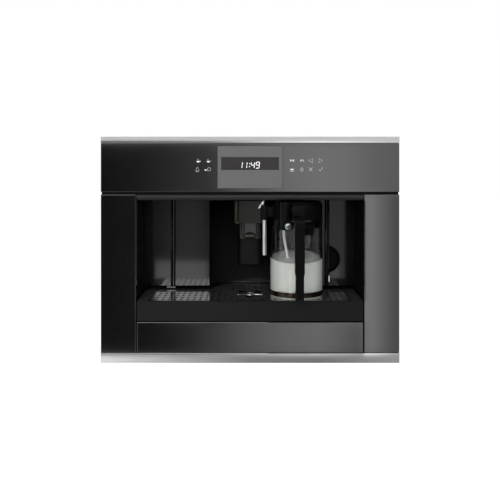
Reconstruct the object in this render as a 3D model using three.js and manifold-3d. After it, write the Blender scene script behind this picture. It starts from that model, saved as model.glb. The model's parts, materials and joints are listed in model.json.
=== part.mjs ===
// A built-in fully automatic coffee machine for a 45 cm high cabinet niche, in millimetres, +Z up.
// Black glass front with steel trims, an open cup niche with a swinging service door, a height-adjustable
// coffee spout and a milk jug on it, a drip tray that pulls out, and telescopic rails that let the whole
// machine slide out of the cabinet to reach the water tank and the bean hopper.
// While modelling, y = 0 is the front plane and y grows towards the back; the finished group is moved so that
// its origin is the centre of its bottom.
import * as THREE from "three";
import { mergeVertices } from "three/addons/utils/BufferGeometryUtils.js";
import Module from "manifold-3d";

const wasm = await Module();
wasm.setup();

// ---------------------------------------------------------------- driving sizes
const SEAT_GAP = 0.3; // between pieces that touch on the real machine
const RUNNING_GAP = 0.4; // round a piece that turns or slides in another

// front
const FRONT_WIDTH = 595;
const FRONT_HEIGHT = 451;
const FRONT_LIFT = 1; // the front hangs this far above the shelf, so that it slides freely
const TOP_TRIM_HEIGHT = 12.7;
const BOTTOM_TRIM_HEIGHT = 19.3;
const TRIM_DEPTH = 22;
const GLASS_THICKNESS = 4;
const FRAME_THICKNESS = 5;
const FRAME_LIP = 4; // the edge that runs back all round the frame
const FRAME_LIP_DEPTH = 18;
const COLUMN_WIDTH = 70;
const CONTROL_GLASS_HEIGHT = 98;
const CONTROL_GAP = 4.8; // the shadow gap under the control glass
const LINTEL_HEIGHT = 12;
const LINTEL_DEPTH = 15;
const LOWER_GLASS_HEIGHT = 61.8;
const PANEL_GAP = 2;
const GLASS_CHAMFER = 0.8;

// display
const DISPLAY_PLATE_WIDTH = 129.4;
const DISPLAY_PLATE_HEIGHT = 83.9;
const DISPLAY_PLATE_DROP = 5.9; // from the top of the control glass
const DISPLAY_PLATE_THICKNESS = 1.2;
const WINDOW_WIDTH = 114.6;
const WINDOW_HEIGHT = 25.2;
const WINDOW_DROP = 22.3; // from the top of the display plate
const BOARD_HALF_WIDTH = 150;
const BOARD_EDGE = 8;
const BOARD_THICKNESS = 1.6;

// cup niche
const NICHE_DEPTH = 130; // from the front plane to the flat back
const WALL = 2; // moulded liner
const NICHE_SIDE_SETBACK = 1.5; // the liner stands this far outside the glass edge
const BACK_PANEL_RISE = 7; // the back panels and the door end this far above the drip tray
const SCOOP_RADIUS = 30;
const SCOOP_REACH = 23;
const SCOOP_RISE = 58.2; // centre of the finger scoop above the door's lower edge
const SCOOP_DEPTH = 20;
const LAMP_WIDTH = 120;
const LAMP_DEPTH = 14;
const LAMP_SETBACK = 30;

// drip tray
const TRAY_HEIGHT = 39.4;
const TRAY_DEPTH = 212;
const TRAY_WALL = 2.5;
const TRAY_SIDE_GAP = 1;
const TRAY_FRONT_WALL = 6;
const TRAY_RIM_WIDTH = 25;
const TRAY_LEDGE = 4;
const TRAY_TO_GLASS_GAP = 2;
const GRILLE_THICKNESS = 1.2;
const GRILLE_CORNER = 12;
const GRILLE_FRONT = 7;
const GRILLE_BACK = 125;
const SLOT_PITCH_X = 12.6;
const SLOT_PITCH_Y = 20;
const SLOT_WIDTH = 4.6;
const SLOT_LENGTH = 9.6;
const SLOT_FIRST_ROW = 17;
const SLOT_MARGIN = 12;
const ROSETTE_Y = 74; // centre of the three drain holes under the spout
const ROSETTE_RADIUS = 30;
const ROSETTE_HOLE_LENGTH = 25;
const ROSETTE_HOLE_WIDTH = 17;
const ROSETTE_CLEAR = 52;
const FLOAT_RADIUS = 6;
const FLOAT_HEIGHT = 5;
const FLOAT_STEM = 3;
const FLOAT_SINK = 20;
const FLOAT_GUIDE_WALL = 2;
const FLOAT_REST = 4.4; // the cap of an empty tray's float lies this far under the grille's face

// service door
const DOOR_HALF_WIDTH = 162.5; // flat face, between the grooves beside the two bars
const DOOR_BAR_X = 168.3;
const DOOR_BAR_RADIUS = 3.5;
const DOOR_GROOVE = 5.5;
const DOOR_END = 172;
const DOOR_WALL = 3;
const DOOR_SIDE_GAP = 2.5;
const DOOR_TOP_GAP = 3;
const COVE_RADIUS = 90;
const COVE_CENTRE_Y = 120;
const HINGE_PIN_RADIUS = 1.6;
const HINGE_PIN_LENGTH = 5.5;
const HINGE_LUG = 3;
const COLUMN_HALF_WIDTH = 27;
const COLUMN_FRONT_Y = 96;
const COLUMN_LENGTH = 140.5;

// coffee spout
const SPOUT_HALF_WIDTH = 31;
const SPOUT_FRONT_Y = 45;
const SPOUT_CORNER = 9;
const SPOUT_WRAP = 20; // how far the cover reaches back along the column
const SPOUT_HEIGHT = 46.5;
const SPOUT_WALL = 3;
const NOZZLE_SPACING = 32;
const NOZZLE_RADIUS = 7.5;
const NOZZLE_BORE = 3;
const NOZZLE_DROP = 33; // the outlets' length below the cover
const NOZZLE_CENTRE_Y = 66;
const BRIDGE_DROP = 24; // from the cover's underside to the arch between the nozzles

// milk jug
const JUG_X = 96.2;
const JUG_Y = 56;
const JUG_RADIUS = 54;
const JUG_WALL = 3;
const JUG_SIDES = 28;
const JUG_FLOOR = 4;
const JUG_FOOT_ROUND = 5;
const BAND_HEIGHT = 9;
const BAND_LIFT = 14; // above the jug's underside
const BAND_THICKNESS = 1.4;
const LID_TOP_GAP = 2.5; // under the top of the niche
const LID_RISE = 39; // from the glass rim to the lid's top
const LID_SKIRT = 16;
const LID_BOSS_X = 70;
const LID_BOSS_HALF_WIDTH = 13.6;
const LID_BOSS_FRONT_Y = -9;
const LID_BOSS_DROP = 17; // below the glass rim
const FROTH_BLOCK = [34, 40, 32]; // the frothing chamber inside the jug, x, y, z
const HANDLE_WIDTH = 18.5;
const HANDLE_FOOT_WIDTH = 15.5;
const HANDLE_FRONT_Y = -44;
const HANDLE_THICKNESS = 18;
const HANDLE_LIFT = 5.9; // above the jug's underside
const HANDLE_FOOT_HEIGHT = 53;
const HANDLE_TOP_DROP = 28; // below the lid's top
const DIAL_X = 91;
const DIAL_DROP = 16.2; // below the lid's top
const DIAL_RADIUS = 10.6;
const DIAL_FRONT_Y = -34;
const DIAL_LENGTH = 12;
const BUTTON_X = 75.4;
const BUTTON_RISE = 8; // above the underside of the lid's boss
const BUTTON_RADIUS = 7.2;
const BUTTON_PROUD = 4;
const BUTTON_POCKET = 5;
const MILK_TUBE_X = 29.5;
const MILK_TUBE_Y = 36;
const MILK_TUBE_RADIUS = 4.5;
const MILK_TUBE_BORE = 2.8;
const MILK_TUBE_LENGTH = 98;
const MILK_TUBE_TOP_DROP = 13; // below the lid's top
const SLEEVE_RADIUS = 7.5;
const SLEEVE_LENGTH = 30.5;
const SLEEVE_TOP_DROP = 8; // below the lid's top
const INTAKE_RADIUS = 3.2;
const INTAKE_BORE = 1.8;
const NOZZLE_SOCKET_X = 108;
const NOZZLE_SOCKET_DROP = 22; // below the lid's top
const STEAM_NOZZLE_RADIUS = 4;
const STEAM_NOZZLE_LENGTH = 18;
const SOCKET_RADIUS = 11;
const SOCKET_WALL_GAP = 1.5;

// casing
const CASE_HALF_WIDTH = 275;
const CASE_DEPTH = 374;
const CASE_TOP_DROP = 10.5; // below the top of the front
const SHEET = 1.2;
const SIDE_FLANGE = 12;
const BASE_SHEET = 2;
const BASE_RISE = 6; // the base pan's top face above the rails
const CEILING_THICKNESS = 2.5;
const VENT_LENGTH = 70;
const VENT_WIDTH = 6;
const SIDE_VENT_DROP = 41.5; // from the casing's top to the slots' upper ends
const SIDE_VENT_Y = 300;
const SIDE_VENT_PITCH = 11;
const REAR_VENT_PITCH = 13;
const TOP_VENT_X = -190;
const TOP_VENT_Y = [90, 140];
const TOP_VENT_PITCH = 14;
const REAR_VENT_DROP = 31.5;
const LOW_VENT_X = 150;
const LOW_VENT_RISE = 22; // from the base pan to the slots' lower ends
const LOW_VENT_LENGTH = 40;
const BAY_HALF_WIDTH = 174;
const BAY_BACK_Y = 350;

// rails
const RAIL_LENGTH = 338;
const RAIL_FRONT_Y = 28;
const RAIL_HEIGHT = 36;
const RAIL_BOTTOM = 6;
const RAIL_SHEET = 1.5;
const RAIL_DEPTH = 10;
const SKIRT_X = 240; // inner face of the skirt that carries the inner rail
const BRACKET_SHEET = 2.5;
const BRACKET_HEIGHT = 44;
const BRACKET_FOOT = 28;
const BRACKET_SCREWS = 4;
const BRACKET_SCREW_RADIUS = 2.5;

// water tank
const TANK_X = [186, 268];
const TANK_Y = [190, 345];
const TANK_PROUD = 1.5; // the tank's rim above the casing
const TANK_HEIGHT = 181;
const TANK_WALL = 2.5;
const TANK_CORNER = 10;
const TANK_LID_THICKNESS = 3;

// bean hopper
const HOPPER_X = -50;
const HOPPER_Y = 250;
const HOPPER_TOP_HALF = 75;
const HOPPER_FLOOR_HALF = 52;
const HOPPER_DEPTH = 55.5; // from the casing's top to the hopper's floor
const HOPPER_WALL = 2;
const HOPPER_FLANGE = 6;
const THROAT_RADIUS = 18;
const THROAT_X = -72;
const THROAT_LENGTH = 12;
const KNOB_X = -22;
const KNOB_RADIUS = 15;
const KNOB_HEIGHT = 12;
const KNOB_STEM_RADIUS = 5;
const KNOB_RIBS = 8;
const KNOB_RIB_RADIUS = 1.8;
const HOPPER_RIM = 1.5;
const BEAN_LID_THICKNESS = 4;

// inside
const GRINDER_RADIUS = 38;
const GRINDER_FOOT_INSET = 8; // its foot is narrower than its body
const GRINDER_FOOT = 14;
const CHUTE_HALF_WIDTH = 20;
const CHUTE_REACH = 95; // behind the grinder's axis
const BREW_HALF_WIDTH = 55;
const BREW_Y = [222, 338];
const BREW_PLATE = 4;
const BREW_CYLINDER_RADIUS = 28;
const PISTON_RADIUS = 9;
const CROSS_BAR_HEIGHT = 12;
const FUNNEL_FOOT_HALF = 16;
const FUNNEL_MOUTH_HALF = 34;
const FUNNEL_DEPTH = 24;
const GROUNDS_HALF_WIDTH = 88;
const GROUNDS_Y = [220, 336];
const GROUNDS_HEIGHT = 58;
const GROUNDS_WALL = 2.5;
const GROUNDS_TAPER = 6;
const BOILER_X = -222;
const BOILER_Y = 290;
const BOILER_RADIUS = 38;
const BOILER_HEIGHT = 118;
const BOILER_WALL = 3;
const BOILER_FLANGE = 5;
const BOILER_FLANGE_HEIGHT = 6;
const BOILER_NECK_RADIUS = 5;
const BOILER_NECK_BORE = 2.5;
const PUMP_X = 215;
const PUMP_Y = 285;
const PUMP_RADIUS = 24;
const PUMP_HALF_LENGTH = 26;
const PUMP_PLATE = 4;
const PUMP_LIFT = 6;
const PIPE_STUB = 10; // the boiler's
const PUMP_STUB = 18;
const PIPE_RADIUS = 6;
const BOILER_INLET = 26; // above the boiler's underside
const HOSE_RADIUS = 4;
const INLET_X = -198;
const INLET_Z = 160;
const INLET_HALF_WIDTH = 36;
const INLET_HALF_HEIGHT = 15;
const INLET_FLANGE = 4;
const INLET_INSIDE = 18; // how far the housing reaches in from the rear panel
const SOCKET_OFFSET = -18; // from the inlet's middle
const SOCKET_HALF_WIDTH = 14;
const SOCKET_HALF_HEIGHT = 10;
const SOCKET_DEPTH = 14;
const SWITCH_OFFSET = 19;
const SWITCH_HALF_WIDTH = 12;
const SWITCH_HALF_HEIGHT = 11;
const SWITCH_PROUD = 4.6;

// ---------------------------------------------------------------- heights worked out from the sizes
const frontBottom = FRONT_LIFT;
const frontTop = FRONT_LIFT + FRONT_HEIGHT;
const bottomTrimTop = frontBottom + BOTTOM_TRIM_HEIGHT;
const topTrimBottom = frontTop - TOP_TRIM_HEIGHT;
const glassTop = topTrimBottom - SEAT_GAP;
const controlBottom = topTrimBottom - CONTROL_GLASS_HEIGHT;
const columnTop = controlBottom - CONTROL_GAP;
const nicheTop = columnTop - LINTEL_HEIGHT;
const lowerGlassBottom = bottomTrimTop + SEAT_GAP;
const lowerGlassTop = lowerGlassBottom + LOWER_GLASS_HEIGHT;
const trayBottom = lowerGlassTop + TRAY_TO_GLASS_GAP;
const trayTop = trayBottom + TRAY_HEIGHT;
const halfFront = FRONT_WIDTH / 2;
const halfOpening = halfFront - COLUMN_WIDTH;
const nicheHalfWidth = halfOpening + NICHE_SIDE_SETBACK;
const frameFront = GLASS_THICKNESS + SEAT_GAP;
const frameBack = frameFront + FRAME_THICKNESS;
const caseFront = frameBack + SEAT_GAP;
const panelBottom = trayTop + BACK_PANEL_RISE;
const doorTop = nicheTop - DOOR_TOP_GAP;
const ceilingBottom = nicheTop + SEAT_GAP;
const ceilingTop = ceilingBottom + CEILING_THICKNESS;
const doorBarY = NICHE_DEPTH + DOOR_GROOVE - DOOR_BAR_RADIUS - SEAT_GAP;
const scoopZ = panelBottom + SCOOP_RISE;
const columnBottom = doorTop - COLUMN_LENGTH;
const spoutBottom = doorTop - SPOUT_HEIGHT;
const nozzleTip = spoutBottom - NOZZLE_DROP;
const jugBottom = trayTop + SEAT_GAP;
const lidTop = nicheTop - LID_TOP_GAP;
const jugRim = lidTop - LID_RISE;
const lidBossBottom = jugRim - LID_BOSS_DROP;
const handleBottom = jugBottom + HANDLE_LIFT;
const handleStep = handleBottom + HANDLE_FOOT_HEIGHT;
const handleTop = lidTop - HANDLE_TOP_DROP;
const dialZ = lidTop - DIAL_DROP;
const buttonZ = lidBossBottom + BUTTON_RISE;
const milkTubeTop = lidTop - MILK_TUBE_TOP_DROP;
const milkTubeTip = milkTubeTop - MILK_TUBE_LENGTH;
const sleeveTop = lidTop - SLEEVE_TOP_DROP;
const sleeveBottom = sleeveTop - SLEEVE_LENGTH;
const nozzleSocketZ = lidTop - NOZZLE_SOCKET_DROP;
const caseTop = frontTop - CASE_TOP_DROP;
const baseTop = RAIL_BOTTOM + RAIL_HEIGHT + BASE_RISE;
const tankTop = caseTop + TANK_PROUD;
const tankBottom = tankTop - TANK_HEIGHT;
const hopperFloor = caseTop - HOPPER_DEPTH;
const trayHalfWidth = halfOpening - TRAY_SIDE_GAP;
const grilleHalfWidth = trayHalfWidth - TRAY_RIM_WIDTH;

// ---------------------------------------------------------------- shapes and solids
const UP = new THREE.Matrix4();
const BACK = new THREE.Matrix4().makeBasis(
  new THREE.Vector3(1, 0, 0),
  new THREE.Vector3(0, 0, 1),
  new THREE.Vector3(0, -1, 0),
);
const ACROSS = new THREE.Matrix4().makeBasis(
  new THREE.Vector3(0, 1, 0),
  new THREE.Vector3(0, 0, 1),
  new THREE.Vector3(1, 0, 0),
);

// A closed geometry as a manifold solid, its faces turned outwards.
function solid(geometry) {
  const bare = geometry.index ? geometry.toNonIndexed() : geometry.clone();
  const positions = new THREE.BufferGeometry().setAttribute("position", bare.getAttribute("position"));
  const merged = mergeVertices(positions, 1e-4);
  const index = merged.index.array;
  const kept = [];
  for (let i = 0; i < index.length; i += 3) {
    const [a, b, c] = [index[i], index[i + 1], index[i + 2]];
    if (a !== b && b !== c && c !== a) kept.push(a, b, c);
  }
  const build = (triangles) =>
    new wasm.Manifold(
      new wasm.Mesh({
        numProp: 3,
        vertProperties: merged.attributes.position.array,
        triVerts: new Uint32Array(triangles),
      }),
    );
  const made = build(kept);
  if (made.volume() >= 0) return made;
  for (let i = 0; i < kept.length; i += 3) [kept[i + 1], kept[i + 2]] = [kept[i + 2], kept[i + 1]];
  return build(kept);
}

function geometryOf(shape) {
  const mesh = shape.getMesh();
  const geometry = new THREE.BufferGeometry();
  geometry.setAttribute("position", new THREE.BufferAttribute(Float32Array.from(mesh.vertProperties), 3));
  geometry.setIndex(new THREE.BufferAttribute(Uint32Array.from(mesh.triVerts), 1));
  return geometry;
}

const joined = (first, ...rest) => rest.reduce((sum, next) => sum.add(next), first);
const cutBy = (first, ...rest) => rest.reduce((sum, next) => sum.subtract(next), first);
const mirrored = (shape) => shape.mirror([1, 0, 0]);

function block(x0, x1, y0, y1, z0, z1) {
  const box = new THREE.BoxGeometry(x1 - x0, y1 - y0, z1 - z0);
  box.translate((x0 + x1) / 2, (y0 + y1) / 2, (z0 + z1) / 2);
  return solid(box);
}

// Extrudes a flat shape along one of the frame's directions, from one coordinate to another.
function prism(shape, along, from, to, curveSegments = 8) {
  const geometry = new THREE.ExtrudeGeometry(shape, {
    depth: to - from,
    bevelEnabled: false,
    curveSegments,
  });
  geometry.applyMatrix4(along);
  if (along === UP) geometry.translate(0, 0, from);
  if (along === BACK) geometry.translate(0, to, 0);
  if (along === ACROSS) geometry.translate(from, 0, 0);
  return solid(geometry);
}

function polygon(points) {
  return new THREE.Shape(points.map(([u, v]) => new THREE.Vector2(u, v)));
}

function roundedRectangle(u0, u1, v0, v1, radius) {
  const r = Math.min(radius, (u1 - u0) / 2, (v1 - v0) / 2);
  const shape = new THREE.Shape();
  shape.moveTo(u0 + r, v0);
  shape.lineTo(u1 - r, v0);
  shape.absarc(u1 - r, v0 + r, r, -Math.PI / 2, 0);
  shape.lineTo(u1, v1 - r);
  shape.absarc(u1 - r, v1 - r, r, 0, Math.PI / 2);
  shape.lineTo(u0 + r, v1);
  shape.absarc(u0 + r, v1 - r, r, Math.PI / 2, Math.PI);
  shape.lineTo(u0, v0 + r);
  shape.absarc(u0 + r, v0 + r, r, Math.PI, 1.5 * Math.PI);
  return shape;
}

// A cylinder whose axis runs along z, y or x.
function rod(radius, axis, from, to, [u, v], sides = 20) {
  const cylinder = new THREE.CylinderGeometry(radius, radius, to - from, sides);
  const middle = (from + to) / 2;
  if (axis === "z") cylinder.rotateX(Math.PI / 2).translate(u, v, middle);
  if (axis === "y") cylinder.translate(u, middle, v);
  if (axis === "x") cylinder.rotateZ(Math.PI / 2).translate(middle, u, v);
  return solid(cylinder);
}

// A profile of [radius, height] points turned about a vertical axis.
function turned(profile, x, y, segments = 24) {
  const lathe = new THREE.LatheGeometry(
    profile.map(([r, z]) => new THREE.Vector2(r, z)),
    segments,
  );
  lathe.rotateX(Math.PI / 2);
  lathe.translate(x, y, 0);
  return solid(lathe);
}

// A solid between two rings with the same number of points, given as [x, y, z].
function loft(rings) {
  const count = rings[0].length;
  const points = rings.flat();
  const index = [];
  for (let ring = 0; ring + 1 < rings.length; ring += 1) {
    for (let i = 0; i < count; i += 1) {
      const a = ring * count + i;
      const b = ring * count + ((i + 1) % count);
      index.push(a, b, b + count, a, b + count, a + count);
    }
  }
  const last = (rings.length - 1) * count;
  for (let i = 1; i + 1 < count; i += 1) {
    index.push(0, i + 1, i);
    index.push(last, last + i, last + i + 1);
  }
  const geometry = new THREE.BufferGeometry();
  geometry.setAttribute("position", new THREE.Float32BufferAttribute(points.flat(), 3));
  geometry.setIndex(index);
  return solid(geometry);
}

const rectangleRing = (cx, cy, halfX, halfY, z) => [
  [cx - halfX, cy - halfY, z],
  [cx + halfX, cy - halfY, z],
  [cx + halfX, cy + halfY, z],
  [cx - halfX, cy + halfY, z],
];

// A hose along a smooth route, with flat ends.
function hose(route, radius, sides = 8, steps = 28) {
  const path = new THREE.CatmullRomCurve3(route.map((p) => new THREE.Vector3(...p)));
  const section = new THREE.Shape();
  for (let i = 0; i < sides; i += 1) {
    const angle = (2 * Math.PI * i) / sides;
    const [u, v] = [radius * Math.cos(angle), radius * Math.sin(angle)];
    if (i) section.lineTo(u, v);
    else section.moveTo(u, v);
  }
  return solid(new THREE.ExtrudeGeometry(section, { steps, extrudePath: path }));
}

// A row of upright vent slots through a sheet, as one cutter.
function slotRow(count, pitch, makeSlot) {
  const slots = [];
  for (let i = 0; i < count; i += 1) slots.push(makeSlot((i - (count - 1) / 2) * pitch));
  return joined(...slots);
}

// ---------------------------------------------------------------- materials
function finish(color, roughness, metalness, extra = {}) {
  return new THREE.MeshStandardMaterial({ color, roughness, metalness, ...extra });
}
const blackGlass = finish(0x17181a, 0.12, 0.1);
const brushedSteel = finish(0xc9cacb, 0.35, 0.9);
const polishedSteel = finish(0xb9bcbe, 0.12, 1);
const displayGrey = finish(0x707172, 0.45, 0.4);
const displayBlack = finish(0x383637, 0.3, 0.1);
const glossBlack = finish(0x121214, 0.15, 0.1);
const satinBlack = finish(0x2a2829, 0.45, 0.1);
const softBlack = finish(0x1b1a1c, 0.6, 0);
const zincSheet = finish(0x9fa3a6, 0.45, 0.8);
const clearGlass = finish(0xdfe8ea, 0.05, 0, { transparent: true, opacity: 0.3 });
const clearPlastic = finish(0xaeb9c2, 0.15, 0, { transparent: true, opacity: 0.4 });
const greyPlastic = finish(0x55585c, 0.55, 0);
const circuitGreen = finish(0x1f5a3c, 0.5, 0);
const lampWhite = finish(0xf4f1e6, 0.3, 0);
const copper = finish(0x9a6a4c, 0.4, 0.8);
const floatRed = finish(0x9c2b22, 0.4, 0);

// ---------------------------------------------------------------- rails under the machine
// Three channels nest in one another; the outer one stands on a bracket on the cabinet's shelf.
const rails = {};
{
  const back = RAIL_FRONT_Y + RAIL_LENGTH;
  const inner = SKIRT_X + BASE_SHEET + SEAT_GAP;
  const channel = (webFrom, webTo, lipX, bottom, top) =>
    polygon([
      [lipX, bottom],
      [Math.max(webFrom, webTo), bottom],
      [Math.max(webFrom, webTo), top],
      [lipX, top],
      [lipX, top - RAIL_SHEET],
      [webFrom, top - RAIL_SHEET],
      [webFrom, bottom + RAIL_SHEET],
      [lipX, bottom + RAIL_SHEET],
    ]);
  const step = RAIL_SHEET + RUNNING_GAP;
  const outerWeb = inner + RAIL_DEPTH;
  const top = RAIL_BOTTOM + RAIL_HEIGHT;
  const outer = channel(outerWeb, outerWeb + RAIL_SHEET, inner + step, RAIL_BOTTOM, top);
  const middleWeb = outerWeb - step;
  const middle = channel(middleWeb, middleWeb + RAIL_SHEET, inner + step, RAIL_BOTTOM + step, top - step);
  const innerBottom = RAIL_BOTTOM + 2 * step;
  const innerTop = top - 2 * step;
  const innerLip = middleWeb - RUNNING_GAP;
  const innerRail = polygon([
    [inner, innerBottom],
    [innerLip, innerBottom],
    [innerLip, innerBottom + RAIL_SHEET],
    [inner + RAIL_SHEET, innerBottom + RAIL_SHEET],
    [inner + RAIL_SHEET, innerTop - RAIL_SHEET],
    [innerLip, innerTop - RAIL_SHEET],
    [innerLip, innerTop],
    [inner, innerTop],
  ]);
  rails.outer = prism(outer, BACK, RAIL_FRONT_Y, back);
  rails.middle = prism(middle, BACK, RAIL_FRONT_Y, back - 4);
  rails.inner = prism(innerRail, BACK, RAIL_FRONT_Y, back - 4);

  const bracketX = outerWeb + RAIL_SHEET + SEAT_GAP;
  const bracket = prism(
    polygon([
      [bracketX, 0],
      [bracketX + BRACKET_FOOT, 0],
      [bracketX + BRACKET_FOOT, BRACKET_SHEET],
      [bracketX + BRACKET_SHEET, BRACKET_SHEET],
      [bracketX + BRACKET_SHEET, BRACKET_HEIGHT],
      [bracketX, BRACKET_HEIGHT],
    ]),
    BACK,
    RAIL_FRONT_Y + 4,
    back,
  );
  const screwHoles = [];
  for (let i = 0; i < BRACKET_SCREWS; i += 1) {
    const y = RAIL_FRONT_Y + 30 + (i * (RAIL_LENGTH - 60)) / (BRACKET_SCREWS - 1);
    const x = bracketX + BRACKET_SHEET + (BRACKET_FOOT - BRACKET_SHEET) / 2;
    screwHoles.push(rod(BRACKET_SCREW_RADIUS, "z", -1, BRACKET_SHEET + 1, [x, y], 12));
  }
  rails.bracket = cutBy(bracket, ...screwHoles);
}

// ---------------------------------------------------------------- casing
const casing = {};
{
  const caseBottom = baseTop + SEAT_GAP;
  // base pan: a folded sheet with two skirts that hang down to the inner rails
  const skirtBottom = RAIL_BOTTOM + 4;
  const skirt = block(
    SKIRT_X, SKIRT_X + BASE_SHEET, caseFront, CASE_DEPTH - 4, skirtBottom, baseTop - BASE_SHEET / 2,
  );
  const floorPlate = block(
    -CASE_HALF_WIDTH + SHEET,
    CASE_HALF_WIDTH - SHEET,
    caseFront,
    CASE_DEPTH - SHEET - SEAT_GAP,
    baseTop - BASE_SHEET,
    baseTop,
  );
  casing.basePan = joined(floorPlate, skirt, mirrored(skirt));

  const side = block(
    CASE_HALF_WIDTH - SHEET,
    CASE_HALF_WIDTH,
    caseFront,
    CASE_DEPTH - SHEET - SEAT_GAP,
    caseBottom,
    caseTop - SHEET - SEAT_GAP,
  );
  const sideSlots = slotRow(8, SIDE_VENT_PITCH, (offset) =>
    block(
      CASE_HALF_WIDTH - 4,
      CASE_HALF_WIDTH + 3,
      SIDE_VENT_Y + offset - VENT_WIDTH / 2,
      SIDE_VENT_Y + offset + VENT_WIDTH / 2,
      caseTop - SIDE_VENT_DROP - VENT_LENGTH,
      caseTop - SIDE_VENT_DROP,
    ),
  );
  const sideFlange = block(
    CASE_HALF_WIDTH - SIDE_FLANGE,
    CASE_HALF_WIDTH - SHEET / 2,
    caseFront,
    caseFront + SHEET,
    caseBottom,
    caseTop - SHEET - SEAT_GAP,
  );
  casing.side = cutBy(joined(side, sideFlange), sideSlots);

  const rear = block(
    -CASE_HALF_WIDTH,
    CASE_HALF_WIDTH,
    CASE_DEPTH - SHEET,
    CASE_DEPTH,
    baseTop - BASE_SHEET,
    caseTop - SHEET - SEAT_GAP,
  );
  const rearSlots = slotRow(9, REAR_VENT_PITCH, (offset) =>
    block(
      offset - VENT_WIDTH / 2,
      offset + VENT_WIDTH / 2,
      CASE_DEPTH - 4,
      CASE_DEPTH + 3,
      caseTop - REAR_VENT_DROP - VENT_LENGTH,
      caseTop - REAR_VENT_DROP,
    ),
  );
  const rearSlotsLow = slotRow(9, REAR_VENT_PITCH, (offset) =>
    block(
      LOW_VENT_X + offset - VENT_WIDTH / 2,
      LOW_VENT_X + offset + VENT_WIDTH / 2,
      CASE_DEPTH - 4,
      CASE_DEPTH + 3,
      baseTop + LOW_VENT_RISE,
      baseTop + LOW_VENT_RISE + LOW_VENT_LENGTH,
    ),
  );
  const inletHole = block(
    INLET_X - INLET_HALF_WIDTH - SEAT_GAP,
    INLET_X + INLET_HALF_WIDTH + SEAT_GAP,
    CASE_DEPTH - 4,
    CASE_DEPTH + 3,
    INLET_Z - INLET_HALF_HEIGHT - SEAT_GAP,
    INLET_Z + INLET_HALF_HEIGHT + SEAT_GAP,
  );
  casing.rear = cutBy(rear, rearSlots, rearSlotsLow, inletHole);

  const top = block(-CASE_HALF_WIDTH, CASE_HALF_WIDTH, caseFront, CASE_DEPTH, caseTop - SHEET, caseTop);
  const hopperHole = block(
    HOPPER_X - HOPPER_TOP_HALF - RUNNING_GAP,
    HOPPER_X + HOPPER_TOP_HALF + RUNNING_GAP,
    HOPPER_Y - HOPPER_TOP_HALF - RUNNING_GAP,
    HOPPER_Y + HOPPER_TOP_HALF + RUNNING_GAP,
    caseTop - 6,
    caseTop + 3,
  );
  const tankHole = prism(
    roundedRectangle(TANK_X[0] - 1.5, TANK_X[1] + 1.5, TANK_Y[0] - 1.5, TANK_Y[1] + 1.5, TANK_CORNER + 1.5),
    UP,
    caseTop - 6,
    caseTop + 3,
    4,
  );
  const topSlots = slotRow(9, TOP_VENT_PITCH, (offset) =>
    block(
      TOP_VENT_X + offset - VENT_WIDTH / 2,
      TOP_VENT_X + offset + VENT_WIDTH / 2,
      ...TOP_VENT_Y,
      caseTop - 6,
      caseTop + 3,
    ),
  );
  casing.top = cutBy(top, hopperHole, tankHole, topSlots);
}

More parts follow.
